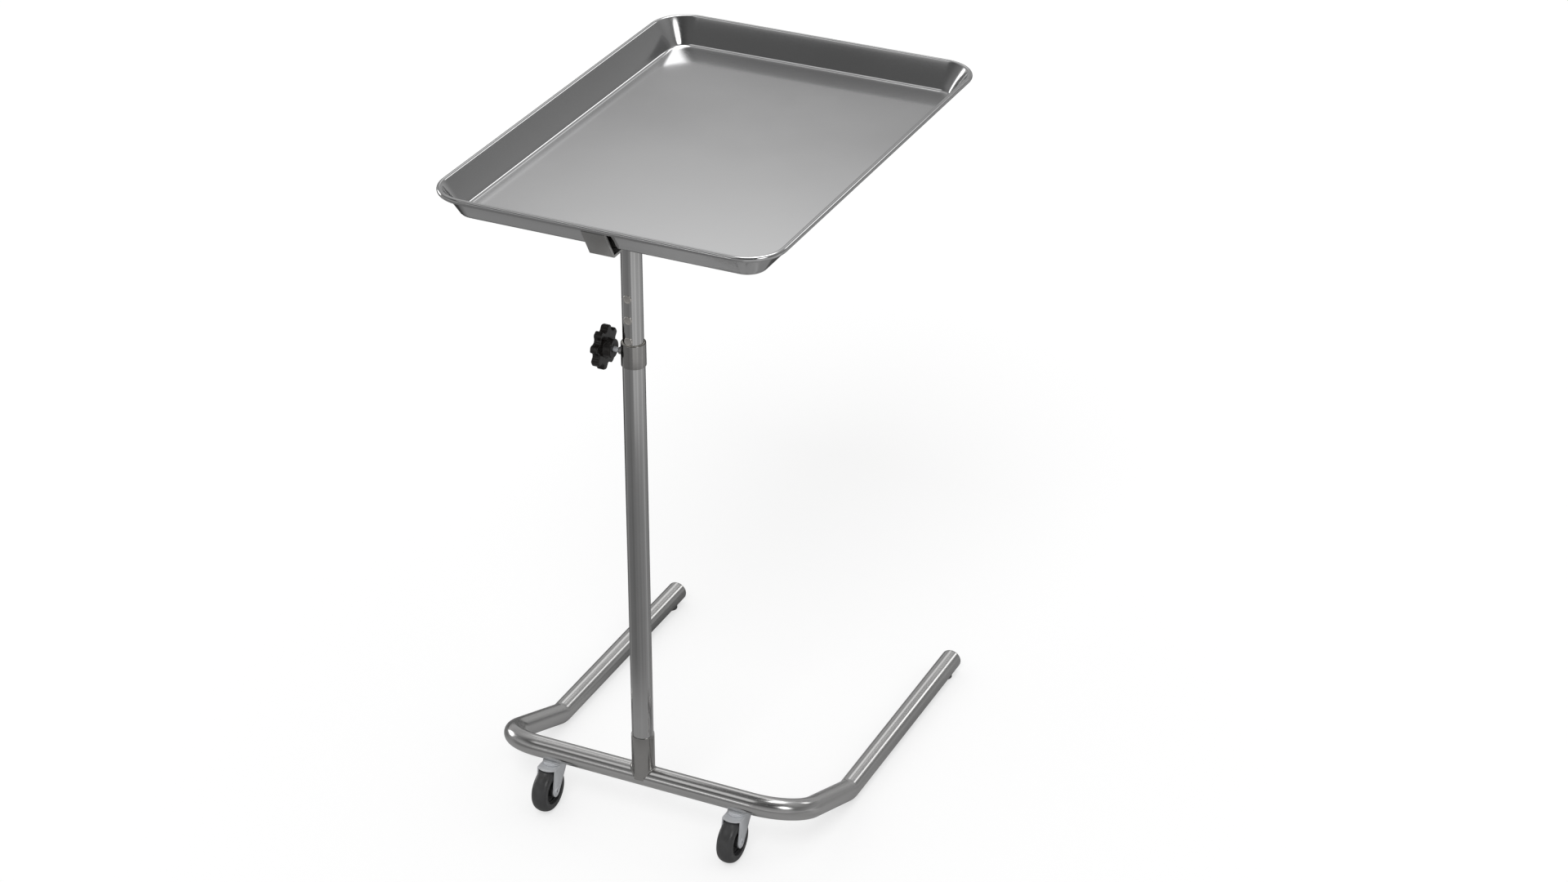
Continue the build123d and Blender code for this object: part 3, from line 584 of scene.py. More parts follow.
def eased_box(start: float, end: float, inner: float, outer: float, ease: float) -> list[Point]:
    """Profile of a ring with its outer edges rounded.

    Args:
        start: Where it starts along the axis.
        end: Where it ends.
        inner: Bore radius, zero for a solid.
        outer: Outer radius.
        ease: Radius of the outer edges.

    Returns:
        The closed profile.
    """
    first = arc((start + ease, outer - ease), ease, 180.0, 90.0, 5)
    last = arc((end - ease, outer - ease), ease, 90.0, 0.0, 5)
    return [(start, inner), *first, *last, (end, inner)]


def mirrored(half: Sequence[Point]) -> list[Point]:
    """Close a profile with its own mirror image.

    Args:
        half: Its half on the negative side.

    Returns:
        The closed profile.
    """
    return [*half, *((-a, r) for a, r in reversed(half))]


def baked(thing: bpy.types.Object) -> bpy.types.Object:
    """Turn an object's modifiers into a plain mesh.

    Args:
        thing: The object.

    Returns:
        The same object, without modifiers.
    """
    graph = bpy.context.evaluated_depsgraph_get()
    mesh = bpy.data.meshes.new_from_object(thing.evaluated_get(graph), preserve_all_data_layers=True, depsgraph=graph)
    old = thing.data
    thing.modifiers.clear()
    thing.data = mesh
    bpy.data.meshes.remove(old)
    return thing


def carved(thing: bpy.types.Object, tool: bpy.types.Object, operation: str = "DIFFERENCE") -> bpy.types.Object:
    """Cut a tool out of a piece, or join it on.

    Args:
        thing: The piece.
        tool: The other solid, which is used up.
        operation: The Boolean operation.

    Returns:
        The piece.
    """
    change = thing.modifiers.new("carve", "BOOLEAN")
    change.operation = operation
    change.solver = "EXACT"
    change.object = tool
    baked(thing)
    bpy.data.objects.remove(tool)
    return thing


def bored(piece: bpy.types.Object, centre: Vector, axis: Vector, span: Point, radius: float) -> None:
    """Bore a round hole in a piece.

    Args:
        piece: The piece.
        centre: Where the axis starts, metres.
        axis: The hole's axis.
        span: Where the hole starts and ends along the axis, millimetres.
        radius: Its radius, millimetres.
    """
    start, end = span
    profile = [(start, 0.0), (start, radius), (end, radius), (end, 0.0)]
    carved(piece, turned("hole", centre, axis, profile, TURNED_STEEL, 48))
    shade(piece)


def eased(name: str, node: bpy.types.Object, finish: Finish, width: float) -> bpy.types.Object:
    """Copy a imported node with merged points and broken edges.

    Args:
        name: The copy's name.
        node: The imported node.
        finish: Its finish.
        width: Width of the broken edges.

    Returns:
        The copy.
    """
    mesh = bpy.data.meshes.new(name)
    work = bmesh.new()
    work.from_mesh(node.data)
    bmesh.ops.transform(work, matrix=node.matrix_world, verts=work.verts)
    bmesh.ops.remove_doubles(work, verts=work.verts, dist=1e-6)
    bmesh.ops.dissolve_limit(work, angle_limit=math.radians(0.6), verts=work.verts, edges=work.edges)
    bmesh.ops.recalc_face_normals(work, faces=work.faces)
    work.to_mesh(mesh)
    work.free()
    mesh.materials.append(Paint.of(finish))
    thing = linked(name, mesh)
    soft = thing.modifiers.new("ease", "BEVEL")
    soft.width = width
    soft.segments = 2
    soft.limit_method = "ANGLE"
    soft.angle_limit = math.radians(EASED_ABOVE)
    baked(thing)
    shade(thing, EASED_ABOVE)
    return thing


class Repeat:
    """Geometry Nodes that set one piece at many places, or wind a thread."""

    def __init__(self, name: str) -> None:
        """Start an empty node group.

        Args:
            name: Its name.
        """
        self.tree = bpy.data.node_groups.new(name, "GeometryNodeTree")
        self.tree.interface.new_socket("Geometry", in_out="OUTPUT", socket_type="NodeSocketGeometry")
        self.inputs: dict[str, str] = {}
        self.graph = Graph(self.tree)

    def socket(self, name: str, kind: str) -> None:
        """Add a named input.

        Args:
            name: Its name.
            kind: Its socket type.
        """
        self.inputs[name] = self.tree.interface.new_socket(name, in_out="INPUT", socket_type=kind).identifier

    def run(self, name: str, places: Sequence[Vector], values: dict[str, object]) -> bpy.types.Object:
        """Run the group on a cloud of points and keep the result as a plain mesh.

        Args:
            name: Name of the object.
            places: The points.
            values: Input values by input name.

        Returns:
            The object.
        """
        mesh = bpy.data.meshes.new(name)
        mesh.from_pydata([tuple(place) for place in places], [], [])
        thing = linked(name, mesh)
        change = thing.modifiers.new("repeat", "NODES")
        change.node_group = self.tree
        for key, value in values.items():
            change[self.inputs[key]] = value
        thing.update_tag()
        bpy.context.view_layer.update()
        return baked(thing)


def scatter(name: str, pattern: bpy.types.Object, places: Sequence[Vector], finish: Finish,
            facing: tuple[float, float, float] = (0.0, 0.0, 0.0), spin: float = 0.0) -> bpy.types.Object:
    """Set copies of a piece at places, each turned a little on its own axis.

    Args:
        name: Name of the row.
        pattern: The piece, along +Z at the origin, which is used up.
        places: Where the copies go.
        finish: Their finish.
        facing: Euler turn of every copy, degrees.
        spin: Largest turn about the copy's own axis, degrees.

    Returns:
        The row as one object.
    """
    group = Repeat("row_of_pieces")
    for key, kind in (
        ("Places", "NodeSocketGeometry"), ("Piece", "NodeSocketObject"), ("Facing", "NodeSocketVector"),
        ("Spin", "NodeSocketVector"), ("Seed", "NodeSocketInt"), ("Finish", "NodeSocketMaterial"),
    ):
        group.socket(key, kind)
    graph = group.graph
    given = graph.add("NodeGroupInput").outputs
    piece = graph.add("GeometryNodeObjectInfo", {"Object": given["Piece"]}).outputs["Geometry"]
    cloud = graph.add("GeometryNodeMeshToPoints", {"Mesh": given["Places"]}).outputs[0]
    rows = graph.add(
        "GeometryNodeInstanceOnPoints", {"Points": cloud, "Instance": piece, "Rotation": given["Facing"]}
    ).outputs[0]
    back = graph.vector("SCALE", given["Spin"])
    back.inputs["Scale"].default_value = -1.0
    turn = graph.add(
        "FunctionNodeRandomValue", {0: back.outputs[0], 1: given["Spin"], "Seed": given["Seed"]},
        data_type="FLOAT_VECTOR",
    ).outputs[0]
    turned_rows = graph.add("GeometryNodeRotateInstances", {"Instances": rows, "Rotation": turn}).outputs[0]
    real = graph.add("GeometryNodeRealizeInstances", {"Geometry": turned_rows}).outputs[0]
    done = graph.add("GeometryNodeSetMaterial", {"Geometry": real, "Material": given["Finish"]}).outputs[0]
    graph.add("NodeGroupOutput", {0: done})
    row = group.run(name, places, {
        "Piece": pattern, "Facing": tuple(math.radians(a) for a in facing),
        "Spin": (0.0, 0.0, math.radians(spin)), "Seed": SEED, "Finish": Paint.of(finish),
    })
    bpy.data.objects.remove(pattern)
    return row


def thread(name: str, foot: Vector, length: float, radius: float, pitch: float, finish: Finish) -> bpy.types.Object:
    """Wind a rounded thread ridge along -X.

    Args:
        name: Its name.
        foot: Where it starts.
        length: How long it is.
        radius: Radius of the ridge's middle line.
        pitch: Rise in one turn.
        finish: Its finish.

    Returns:
        The ridge.
    """
    group = Repeat("thread_ridge")
    for key, kind in (
        ("Start", "NodeSocketGeometry"), ("Turns", "NodeSocketFloat"), ("Radius", "NodeSocketFloat"),
        ("Length", "NodeSocketFloat"), ("Ridge", "NodeSocketFloat"), ("Foot", "NodeSocketVector"),
        ("Finish", "NodeSocketMaterial"),
    ):
        group.socket(key, kind)
    graph = group.graph
    given = graph.add("NodeGroupInput").outputs
    line = graph.add("GeometryNodeCurveSpiral", {
        "Resolution": 32, "Rotations": given["Turns"], "Start Radius": given["Radius"],
        "End Radius": given["Radius"], "Height": given["Length"],
    }).outputs[0]
    ridge = graph.add("GeometryNodeCurvePrimitiveCircle", {"Resolution": 8, "Radius": given["Ridge"]}).outputs[0]
    wound = graph.add("GeometryNodeCurveToMesh", {"Curve": line, "Profile Curve": ridge, "Fill Caps": True}).outputs[0]
    laid = graph.add("GeometryNodeTransform", {
        "Geometry": wound, "Translation": given["Foot"], "Rotation": (0.0, math.radians(-90.0), 0.0),
    }).outputs[0]
    real = graph.add("GeometryNodeRealizeInstances", {"Geometry": laid}).outputs[0]
    done = graph.add("GeometryNodeSetMaterial", {"Geometry": real, "Material": given["Finish"]}).outputs[0]
    graph.add("NodeGroupOutput", {0: done})
    ridge_body = group.run(name, [foot], {
        "Turns": length / pitch, "Radius": radius, "Length": length, "Ridge": pitch * RIDGE_SHARE, "Foot": tuple(foot),
        "Finish": Paint.of(finish),
    })
    shade(ridge_body, 60.0)
    return ridge_body


def merged(name: str, pieces: Sequence[bpy.types.Object]) -> bpy.types.Object:
    """Put several shells of one piece in one object.

    Args:
        name: Its name.
        pieces: The shells, which are used up.

    Returns:
        The object.
    """
    mesh = bpy.data.meshes.new(name)
    work = bmesh.new()
    finishes = []
    for piece in pieces:
        first = len(work.faces)
        work.from_mesh(piece.data)
        work.faces.ensure_lookup_table()
        made = piece.data.materials[0]
        if made not in finishes:
            finishes.append(made)
        for face in work.faces[first:]:
            face.material_index = finishes.index(made)
    work.to_mesh(mesh)
    work.free()
    for made in finishes:
        mesh.materials.append(made)
    for piece in pieces:
        bpy.data.objects.remove(piece)
    return linked(name, mesh)


def keep(piece: bpy.types.Object, body: str, slot: str, *nodes: str) -> bpy.types.Object:
    """Ride a piece on its body, hide the nodes it stands for, and report it.

    Args:
        piece: The piece.
        body: The body it moves with.
        slot: The record's material slot; not used.
        *nodes: The nodes it replaces.

    Returns:
        The piece.
    """
    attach(piece, body)
    if nodes:
        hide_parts(*nodes)
    LOG.info("made %s on %s, %d faces", piece.name, body, len(piece.data.polygons))
    return piece


@dataclass
class Tray:
    """The pressed tray, swept as one section round its rim; metres."""

    half_x: float = 0.2007
    half_y: float = 0.2863
    underside: float = 0.7803
    depth: float = 0.0319
    sheet: float = 0.0009
    bead: float = 0.0032
    inset: float = 0.0222
    corner: float = 0.042
    bend: float = 0.005
    seam: float = 0.003
    mouth: float = 80.0
    bow: float = 0.00035
    corner_spans: int = 28

    def section(self) -> list[Point]:
        """Closed section of floor edge, wall and curled rim.

        Returns:
            Points as (inwards from the bead's centre line, up from the underside).
        """
        rise = self.depth - self.bead
        fold = Vector((self.inset, self.sheet))
        reach = fold - Vector((0.0, rise))
        touch = math.degrees(math.atan2(reach.y, reach.x) + math.acos(self.bead / reach.length))
        tangent = Vector((self.bead * math.cos(math.radians(touch)), rise + self.bead * math.sin(math.radians(touch))))
        way = (tangent - fold).normalized()
        turn = math.degrees(math.atan2(way.y, -way.x))
        shift = self.bend * math.tan(math.radians(turn) / 2)
        centre = (self.inset + shift, self.sheet + self.bend)
        last = touch + 360.0 - self.mouth
        inner = self.bead - self.sheet
        fold_top = arc(centre, self.bend, 270.0, 270.0 - turn, 8)
        fold_under = arc(centre, self.bend + self.sheet, 270.0 - turn, 270.0, 8)
        bead_out = arc((0.0, rise), self.bead, touch, last, 36)
        bead_in = arc((0.0, rise), inner, last, touch, 30)
        outline = [(centre[0] + self.seam, self.sheet), *fold_top]
        outline += self.bowed(fold_top[-1], bead_out[0], way)
        outline += bead_out + bead_in
        outline += self.bowed(bead_in[-1], fold_under[0], way)
        outline += [*fold_under, (centre[0] + self.seam, 0.0)]
        return outline

    def bowed(self, start: Point, end: Point, way: Vector) -> list[Point]:
        """Points between two ends of the wall, bowed a little towards the inside of the tray.

        Args:
            start: One end.
            end: The other.
            way: Direction of the wall, up and outwards.

        Returns:
            The points between, without the ends.
        """
        points = []
        for i in range(1, 8):
            t = i / 8
            rise = 4 * self.bow * t * (1 - t)
            points.append((
                start[0] + (end[0] - start[0]) * t + way.y * rise, start[1] + (end[1] - start[1]) * t - way.x * rise,
            ))
        return points

    def rim_route(self) -> list[tuple[Vector, Vector]]:
        """The bead's centre line round the tray.

        Returns:
            Corner centres or straight points with the way inwards, in order.
        """
        stops = []
        for quarter in range(4):
            sign_x = 1 if quarter in (0, 3) else -1
            sign_y = 1 if quarter in (0, 1) else -1
            centre = Vector((sign_x * (self.half_x - self.corner), sign_y * (self.half_y - self.corner), 0.0))
            for i in range(self.corner_spans + 1):
                angle = math.radians(90 * quarter + 90 * i / self.corner_spans)
                out = Vector((math.cos(angle), math.sin(angle), 0.0))
                stops.append((centre + out * self.corner, -out))
        return stops

    def build(self) -> bpy.types.Object:
        """Make the tray.

        Returns:
            The tray.
        """
        shape = Shape()
        outline = self.section()
        base = Vector((0.0, 0.0, self.underside))
        stops = self.rim_route()
        rows = [[base + point + inward * a + UP * b for a, b in outline] for point, inward in stops]
        along = running([point for point, _ in stops], True)
        first = shape.grid(rows, running(outline, True), along, close_rows=True, close_columns=False)
        count = len(outline)
        shape.cap([first + i * count for i in range(len(stops))])
        shape.cap([first + i * count + count - 1 for i in range(len(stops))], flip=True)
        return keep(shape.build("tray_pressing", SHEET_STEEL, 50.0), "tray", "tray_steel", "tray")


@dataclass
class Column:
    """The two tubes of the column, the sleeve on the crossbar, the collar and the studs; millimetres."""

    y: float = -201.6
    lower_r: float = 12.6
    lower_bore: float = 11.8
    lower_foot: float = 87.0
    lower_top: float = 619.0
    upper_r: float = 11.7
    upper_bore: float = 10.2
    upper_foot: float = 120.0
    upper_top: float = 770.4
    groove_bottom: float = 126.0
    groove_top: float = 135.1
    groove_r: float = 10.7
    collar_bottom: float = 611.0
    collar_top: float = 639.0
    collar_r: float = 13.95
    collar_ease: float = 0.7
    tube_ease: float = 0.25
    fit: float = 0.05
    tube_pocket: float = 8.0
    neck_r: float = 12.0
    bush_pocket: float = 8.4
    bush_pocket_r: float = 12.87
    boss_r: float = 4.3
    boss_root: float = 13.1
    boss_end: float = 17.15
    clamp_height: float = 625.0
    clamp_hole: Point = (5.0, 25.0)
    clamp_hole_r: float = 3.05
    socket_r: float = 13.5
    socket_top: float = 131.7
    socket_ease: float = 0.35
    socket_spans: int = 144
    bar_height: float = 74.0
    bar_r: float = 12.7
    weld: float = 2.4
    weld_steps: int = 8
    weld_ripples: int = 46
    set_screw_height: float = 99.5
    set_screw_hole: Point = (10.0, 20.0)
    set_screw_r: float = 3.02
    stud_heights: tuple[float, ...] = (644.2, 669.6, 695.0)
    stud_r: float = 4.9
    stud_face: float = 12.6
    stud_seat: float = 10.2
    stud_shank: Point = (9.0, 2.0)
    stud_edge: float = 0.6
    stud_rim: Point = (1.0, 1.15)
    stud_dish: float = 0.08

    def at(self, x: float = 0.0, z: float = 0.0) -> Vector:
        """A point on the column's plane.

        Args:
            x: Sideways, millimetres.
            z: Height, millimetres.

        Returns:
            The point, metres.
        """
        return Vector((x, self.y, z)) * MM

    def tubes(self) -> None:
        """Make both tubes; the upper one has a groove for its guide ring."""
        ease, foot, top = self.tube_ease, self.lower_foot, self.lower_top
        lower = [
            (foot, self.lower_bore), (foot, self.lower_r - ease), (foot + ease, self.lower_r),
            (top - ease, self.lower_r), (top, self.lower_r - ease), (top, self.lower_bore),
        ]
        foot, top = self.upper_foot, self.upper_top
        upper = [
            (foot, self.upper_bore), (foot, self.upper_r - ease), (foot + ease, self.upper_r),
            (self.groove_bottom, self.upper_r), (self.groove_bottom, self.groove_r),
            (self.groove_top, self.groove_r), (self.groove_top, self.upper_r),
            (top, self.upper_r), (top, self.upper_bore),
        ]
        for name, profile, body, slot, node in (
            ("lower_tube", lower, "base", "satin_steel", "lower_column"),
            ("upper_tube", upper, "upper_column", "bright_steel", "upper_column"),
        ):
            keep(turned(name, self.at(), UP, profile, TUBE_STEEL, drawn=True), body, slot, node)

    def collar(self) -> None:
        """Turn the collar, with a tapped boss towards the knob."""
        low, high, ease, bore = self.collar_bottom, self.collar_top, self.collar_ease, self.lower_r + self.fit
        neck, seat = low + self.tube_pocket, high - self.bush_pocket
        profile = [
            (low, bore), *arc((low + ease, self.collar_r - ease), ease, 180.0, 90.0, 6),
            *arc((high - ease, self.collar_r - ease), ease, 90.0, 0.0, 6), (high, self.bush_pocket_r),
            (seat, self.bush_pocket_r), (seat, self.neck_r), (neck, self.neck_r), (neck, bore),
        ]
        body = turned("clamp_collar_turned", self.at(), UP, profile, TURNED_STEEL, 128)
        centre, axis = self.at(z=self.clamp_height), Vector((-1.0, 0.0, 0.0))
        outline = eased_box(self.boss_root, self.boss_end, 0.0, self.boss_r, 0.5)
        carved(body, turned("boss", centre, axis, outline, TURNED_STEEL, 64), "UNION")
        bored(body, centre, axis, self.clamp_hole, self.clamp_hole_r)
        keep(body, "base", "satin_steel", "clamp_collar")

    def cope(self, radius: float, angle: float) -> float:
        """Height of the crossbar's surface under a point of the sleeve.

        Args:
            radius: The point's distance from the column's axis.
            angle: Its angle from the crossbar's line.

        Returns:
            The height, millimetres.
        """
        off = radius * math.sin(angle)
        return self.bar_height + math.sqrt(max(0.0, self.bar_r ** 2 - off ** 2))

    def socket(self) -> None:
        """Make the sleeve, coped to the crossbar and welded round its foot."""
        shape = Shape()
        inner, outer, top, ease = self.lower_r + self.fit, self.socket_r, self.socket_top, self.socket_ease
        rows = []
        for i in range(self.socket_spans):
            angle = 2 * math.pi * i / self.socket_spans
            along_bar = abs(math.cos(angle))
            bead = self.weld * (0.25 + 0.75 * along_bar) * (1 + 0.05 * math.sin(angle * self.weld_ripples))
            column = [(inner, self.cope(inner, angle)), (inner, top)]
            column += [(r, z) for z, r in arc((top - ease, outer - ease), ease, 0.0, 90.0, 4)]
            for step in range(self.weld_steps + 1):
                t = step / self.weld_steps
                r = outer + bead * t * t * along_bar
                column.append((r, self.cope(r, angle) + bead * (1 - t) ** 2))
            column.append((outer - 0.3, self.cope(outer, angle) - 0.4))
            rows.append([
                Vector((r * math.cos(angle), self.y + r * math.sin(angle), z)) * MM for r, z in column
            ])
        around = [outer * MM * 2 * math.pi * i / self.socket_spans for i in range(self.socket_spans + 1)]
        shape.grid(rows, running(rows[0], True), around, close_rows=True)
        body = shape.build("column_sleeve", TURNED_STEEL, SHARP)
        bored(body, self.at(z=self.set_screw_height), Vector((0.0, 1.0, 0.0)), self.set_screw_hole, self.set_screw_r)
        keep(body, "base", "satin_steel", "column_socket")

    def studs(self) -> None:
        """Set the index studs up the front of the upper tube."""
        face, wide, seat, edge = self.stud_face, self.stud_r, self.stud_seat, self.stud_edge
        start, shank = self.stud_shank
        rim, dish = self.stud_rim
        profile = [(start, 0.0), (start, shank), (seat, shank), (seat, wide)]
        profile += arc((face - edge, wide - edge), edge, 90.0, 0.0, 6)
        profile += [(face, wide - rim), (face - self.stud_dish, wide - dish), (face - self.stud_dish, 0.0)]
        pattern = turned("stud", Vector(), UP, profile, STUD_STEEL, 64)
        places = [self.at(z=height) for height in self.stud_heights]
        row = scatter("index_stud_row", pattern, places, STUD_STEEL, (90.0, 0.0, 0.0), 40.0)
        keep(row, "upper_column", "satin_steel", "index_studs")

    def build(self) -> None:
        """Make the column."""
        self.tubes()
        self.collar()
        self.socket()
        self.studs()


@dataclass
class Clamp:
    """The lobed knob and its threaded rod, on an axis along -X; millimetres."""

    y: float = -201.6
    height: float = 625.0
    hub_end: float = 23.8
    hub_foot: float = 31.7
    hub_r: float = 11.0
    hub_taper: float = 0.8
    thickness: float = 9.2
    radius: float = 25.2
    lobes: int = 8
    phase: float = 60.0
    scallop_r: float = 5.6
    scallop_out: float = -0.2
    softening: int = 3
    edge: float = 1.6
    hub_edge: float = 1.0
    hub_fillet: float = 0.8
    draft: float = 0.08
    dish_r: float = 12.5
    dish: float = 2.0
    dish_edge: float = 0.6
    dish_fillet: float = 0.5
    hole_r: float = 3.05
    hole_mouth: float = 0.4
    screw_r: float = 3.0
    screw_start: float = 12.45
    screw_end: float = 37.3
    root_depth: float = 0.55
    ridge_depth: float = 0.37
    runout: float = 0.5
    tip_bore: Point = (18.1, 1.5)
    pitch: float = 1.0
    steps: int = 384

    def lobe(self) -> list[float]:
        """The knob's outline as radii round it, with softened lobe corners.

        Returns:
            One radius for each step.
        """
        sharp = []
        away = self.radius + self.scallop_out
        for i in range(self.steps):
            angle = 2 * math.pi * i / self.steps
            radius = self.radius
            for j in range(self.lobes):
                off = angle - math.radians(self.phase + 360 / self.lobes * (j + 0.5))
                side = away * math.sin(off)
                if abs(side) < self.scallop_r and math.cos(off) > 0:
                    radius = min(radius, away * math.cos(off) - math.sqrt(self.scallop_r ** 2 - side ** 2))
            sharp.append(radius)
        soft = sharp
        for _ in range(self.softening):
            soft = [sum(soft[(i + j) % self.steps] for j in range(-2, 3)) / 5 for i in range(self.steps)]
        return soft

    def knob(self) -> None:
        """Mould the knob: hub, lobed grip and dished face in one skin."""
        shape = Shape()
        end, foot, face = self.hub_end, self.hub_foot, self.hub_foot + self.thickness
        base, bottom, floor = self.hub_r + self.hub_taper, self.screw_end + 0.1, face - self.dish
        edge, fillet, ease = self.hub_edge, self.hub_fillet, self.edge
        lip, corner = self.dish_edge, self.dish_fillet
        rows = []
        for i, radius in enumerate(self.lobe()):
            angle = 2 * math.pi * i / self.steps
            line = [
                (bottom, 0.0), (bottom, self.hole_r), (end + self.hole_mouth, self.hole_r),
                (end, self.hole_r + self.hole_mouth),
                *arc((end + edge, self.hub_r - edge), edge, 180.0, 90.0, 5), (foot - fillet - 0.1, base - self.draft),
                *arc((foot - fillet, base + fillet), fillet, 270.0, 360.0, 5), (foot, (base + radius) / 2),
                *arc((foot + ease, radius - ease), ease, 180.0, 90.0, 7),
                *arc((face - ease, radius - ease), ease, 90.0, 0.0, 7), (face, (self.dish_r + radius) / 2),
                *arc((face - lip, self.dish_r + lip), lip, 0.0, -90.0, 4),
                *arc((floor + corner, self.dish_r - corner), corner, 90.0, 180.0, 4), (floor, 0.0),
            ]
            rows.append([
                Vector((-a, self.y + r * math.cos(angle), self.height - r * math.sin(angle))) * MM for a, r in line
            ])
        around = [self.radius * MM * 2 * math.pi * i / self.steps for i in range(self.steps + 1)]
        shape.grid(rows, running(rows[0], True), around, close_rows=True)
        keep(shape.build("knob_moulding", KNOB_PLASTIC, 50.0), "clamp_knob", "knob_plastic", "clamp_knob")

    def screw(self) -> None:
        """Make the clamp screw: a core with a wound thread."""
        axis = Vector((-1.0, 0.0, 0.0))
        centre = Vector((0.0, self.y, self.height)) * MM
        core_r, first, last = self.screw_r - self.root_depth, self.screw_start, self.screw_end
        depth, bore = self.tip_bore
        profile = [(first, bore), (first, core_r - 0.3), (first + 0.3, core_r), (last, core_r), (last, 0.0)]
        core = turned("core", centre, axis, profile + [(depth, 0.0), (depth, bore)], ZINC, 48)
        ridge = thread(
            "ridge", centre + axis * ((first + self.runout) * MM), (last - first - 2 * self.runout) * MM,
            (self.screw_r - self.ridge_depth) * MM, self.pitch * MM, ZINC,
        )
        keep(merged("threaded_clamp_screw", [core, ridge]), "clamp_knob", "zinc_steel", "clamp_screw")

    def build(self) -> None:
        """Make the clamp."""
        self.knob()
        self.screw()


@dataclass
class Support:
    """Screws, rivets and buffers of the tray's support; millimetres."""

    y: float = -201.6
    strap_top: float = 773.4
    tray_under: float = 780.3
    sheet: float = 3.0
    screw_gap: float = 5.5
    screw_long: float = 12.0
    shank_r: float = 2.5
    head_r: float = 4.6
    head_rise: float = 2.8
    slot_half: float = 0.6
    slot_reach: float = 6.0
    slot_heights: Point = (1.7, 4.0)
    rivet_gap: float = 8.0
    rivet_r: float = 2.0
    rivet_flat: float = 2.4
    rivet_head: float = 3.8
    rivet_rise: float = 1.5
    rivet_round: float = 0.9
    pad_y: float = 242.1
    pad_x: float = 128.0
    pad_r: float = 8.0
    pad_edge: float = 0.8
    pad_gap: float = 0.2
    barb_r: float = 4.2
    barb: float = 1.4
    neck_r: float = 3.0

    def screws(self) -> None:
        """Set the two slotted screws over the column."""
        long, shank, head, half_rise = self.screw_long, self.shank_r, self.head_r, self.head_rise / 2
        profile = [(-long, 0.0), (-long, shank - 0.3), (0.3 - long, shank), (0.0, shank), (0.0, head - 0.15)]
        profile += [(0.15, head), *arc((half_rise, head - half_rise), half_rise, 90.0, 0.0, 6), (self.head_rise, 0.0)]
        screw = turned("screw", Vector(), UP, profile, ZINC, 64)
        slot = Shape()
        half, reach = self.slot_half * MM, self.slot_reach * MM
        ring = [(-reach, -half), (reach, -half), (reach, half), (-reach, half)]
        rows = [[Vector((x, y, z * MM)) for x, y in ring] for z in self.slot_heights]
        slot.grid(rows, running(ring, True), [0.0, 0.001])
        slot.cap([3, 2, 1, 0])
        slot.cap([4, 5, 6, 7])
        carved(screw, slot.build("slot", ZINC))
        shade(screw)
        places = [Vector((0.0, self.y + off, self.strap_top)) * MM for off in (-self.screw_gap, self.screw_gap)]
        row = scatter("strap_screw_row", screw, places, ZINC, spin=180.0)
        keep(row, "upper_column", "zinc_steel", "strap_screws")

    def rivets(self) -> None:
        """Set the two rivets where the bars cross."""
        sheet, top, ball = self.sheet, self.sheet + self.rivet_rise, self.rivet_round
        dome = arc((top - ball, self.rivet_head - ball), ball, 90.0, 0.0, 5)
        profile = [(-top, 0.0), (-top, self.rivet_flat), *((-a, r) for a, r in reversed(dome[:-1]))]
        profile += [(-sheet, self.rivet_head), (-sheet, self.rivet_r), (sheet, self.rivet_r)]
        profile += [(sheet, self.rivet_head), *dome, (top, 0.0)]
        rivet = turned("rivet", Vector(), UP, profile, ZINC, 48)
        places = [Vector((x, 0.0, self.strap_top)) * MM for x in (-self.rivet_gap, self.rivet_gap)]
        keep(scatter("cross_rivet_row", rivet, places, ZINC, spin=90.0), "upper_column", "zinc_steel", "cross_rivets")

    def pads(self) -> None:
        """Set the four buffers under the tray, the long bar's pair being taller."""
        rows = []
        for key, seat, points in (
            ("long_bar_buffers", self.strap_top, [(0.0, -self.pad_y), (0.0, self.pad_y)]),
            ("cross_bar_buffers", self.strap_top + self.sheet, [(-self.pad_x, 0.0), (self.pad_x, 0.0)]),
        ):
            top, low, barb, edge = self.tray_under - self.pad_gap - seat, -self.sheet, self.barb, self.pad_edge
            profile = [
                (low - barb, 0.0), (low - barb, self.barb_r - 0.6), (low - barb / 2, self.barb_r), (low, self.barb_r),
                (low, self.neck_r), (0.0, self.neck_r), (0.0, self.pad_r - 0.1), (0.3, self.pad_r),
                *arc((top - edge, self.pad_r - edge), edge, 90.0, 0.0, 6), (top, 0.0),
            ]
            pad = turned("pad", Vector(), UP, profile, PAD_RUBBER, 64)
            rows.append(scatter(key, pad, [Vector((x, y, seat)) * MM for x, y in points], PAD_RUBBER, spin=90.0))
        keep(merged("tray_buffers", rows), "upper_column", "grey_rubber", "tray_pads")

    def build(self, nodes: dict[str, bpy.types.Object]) -> None:
        """Make the support.

        Args:
            nodes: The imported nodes.
        """
        for name in ("support_strap", "support_rib", "cross_strap"):
            keep(eased(f"{name}_eased", nodes[name], BAR_STEEL, 0.0004), "upper_column", "strap_steel", name)
        self.screws()
        self.rivets()
        self.pads()


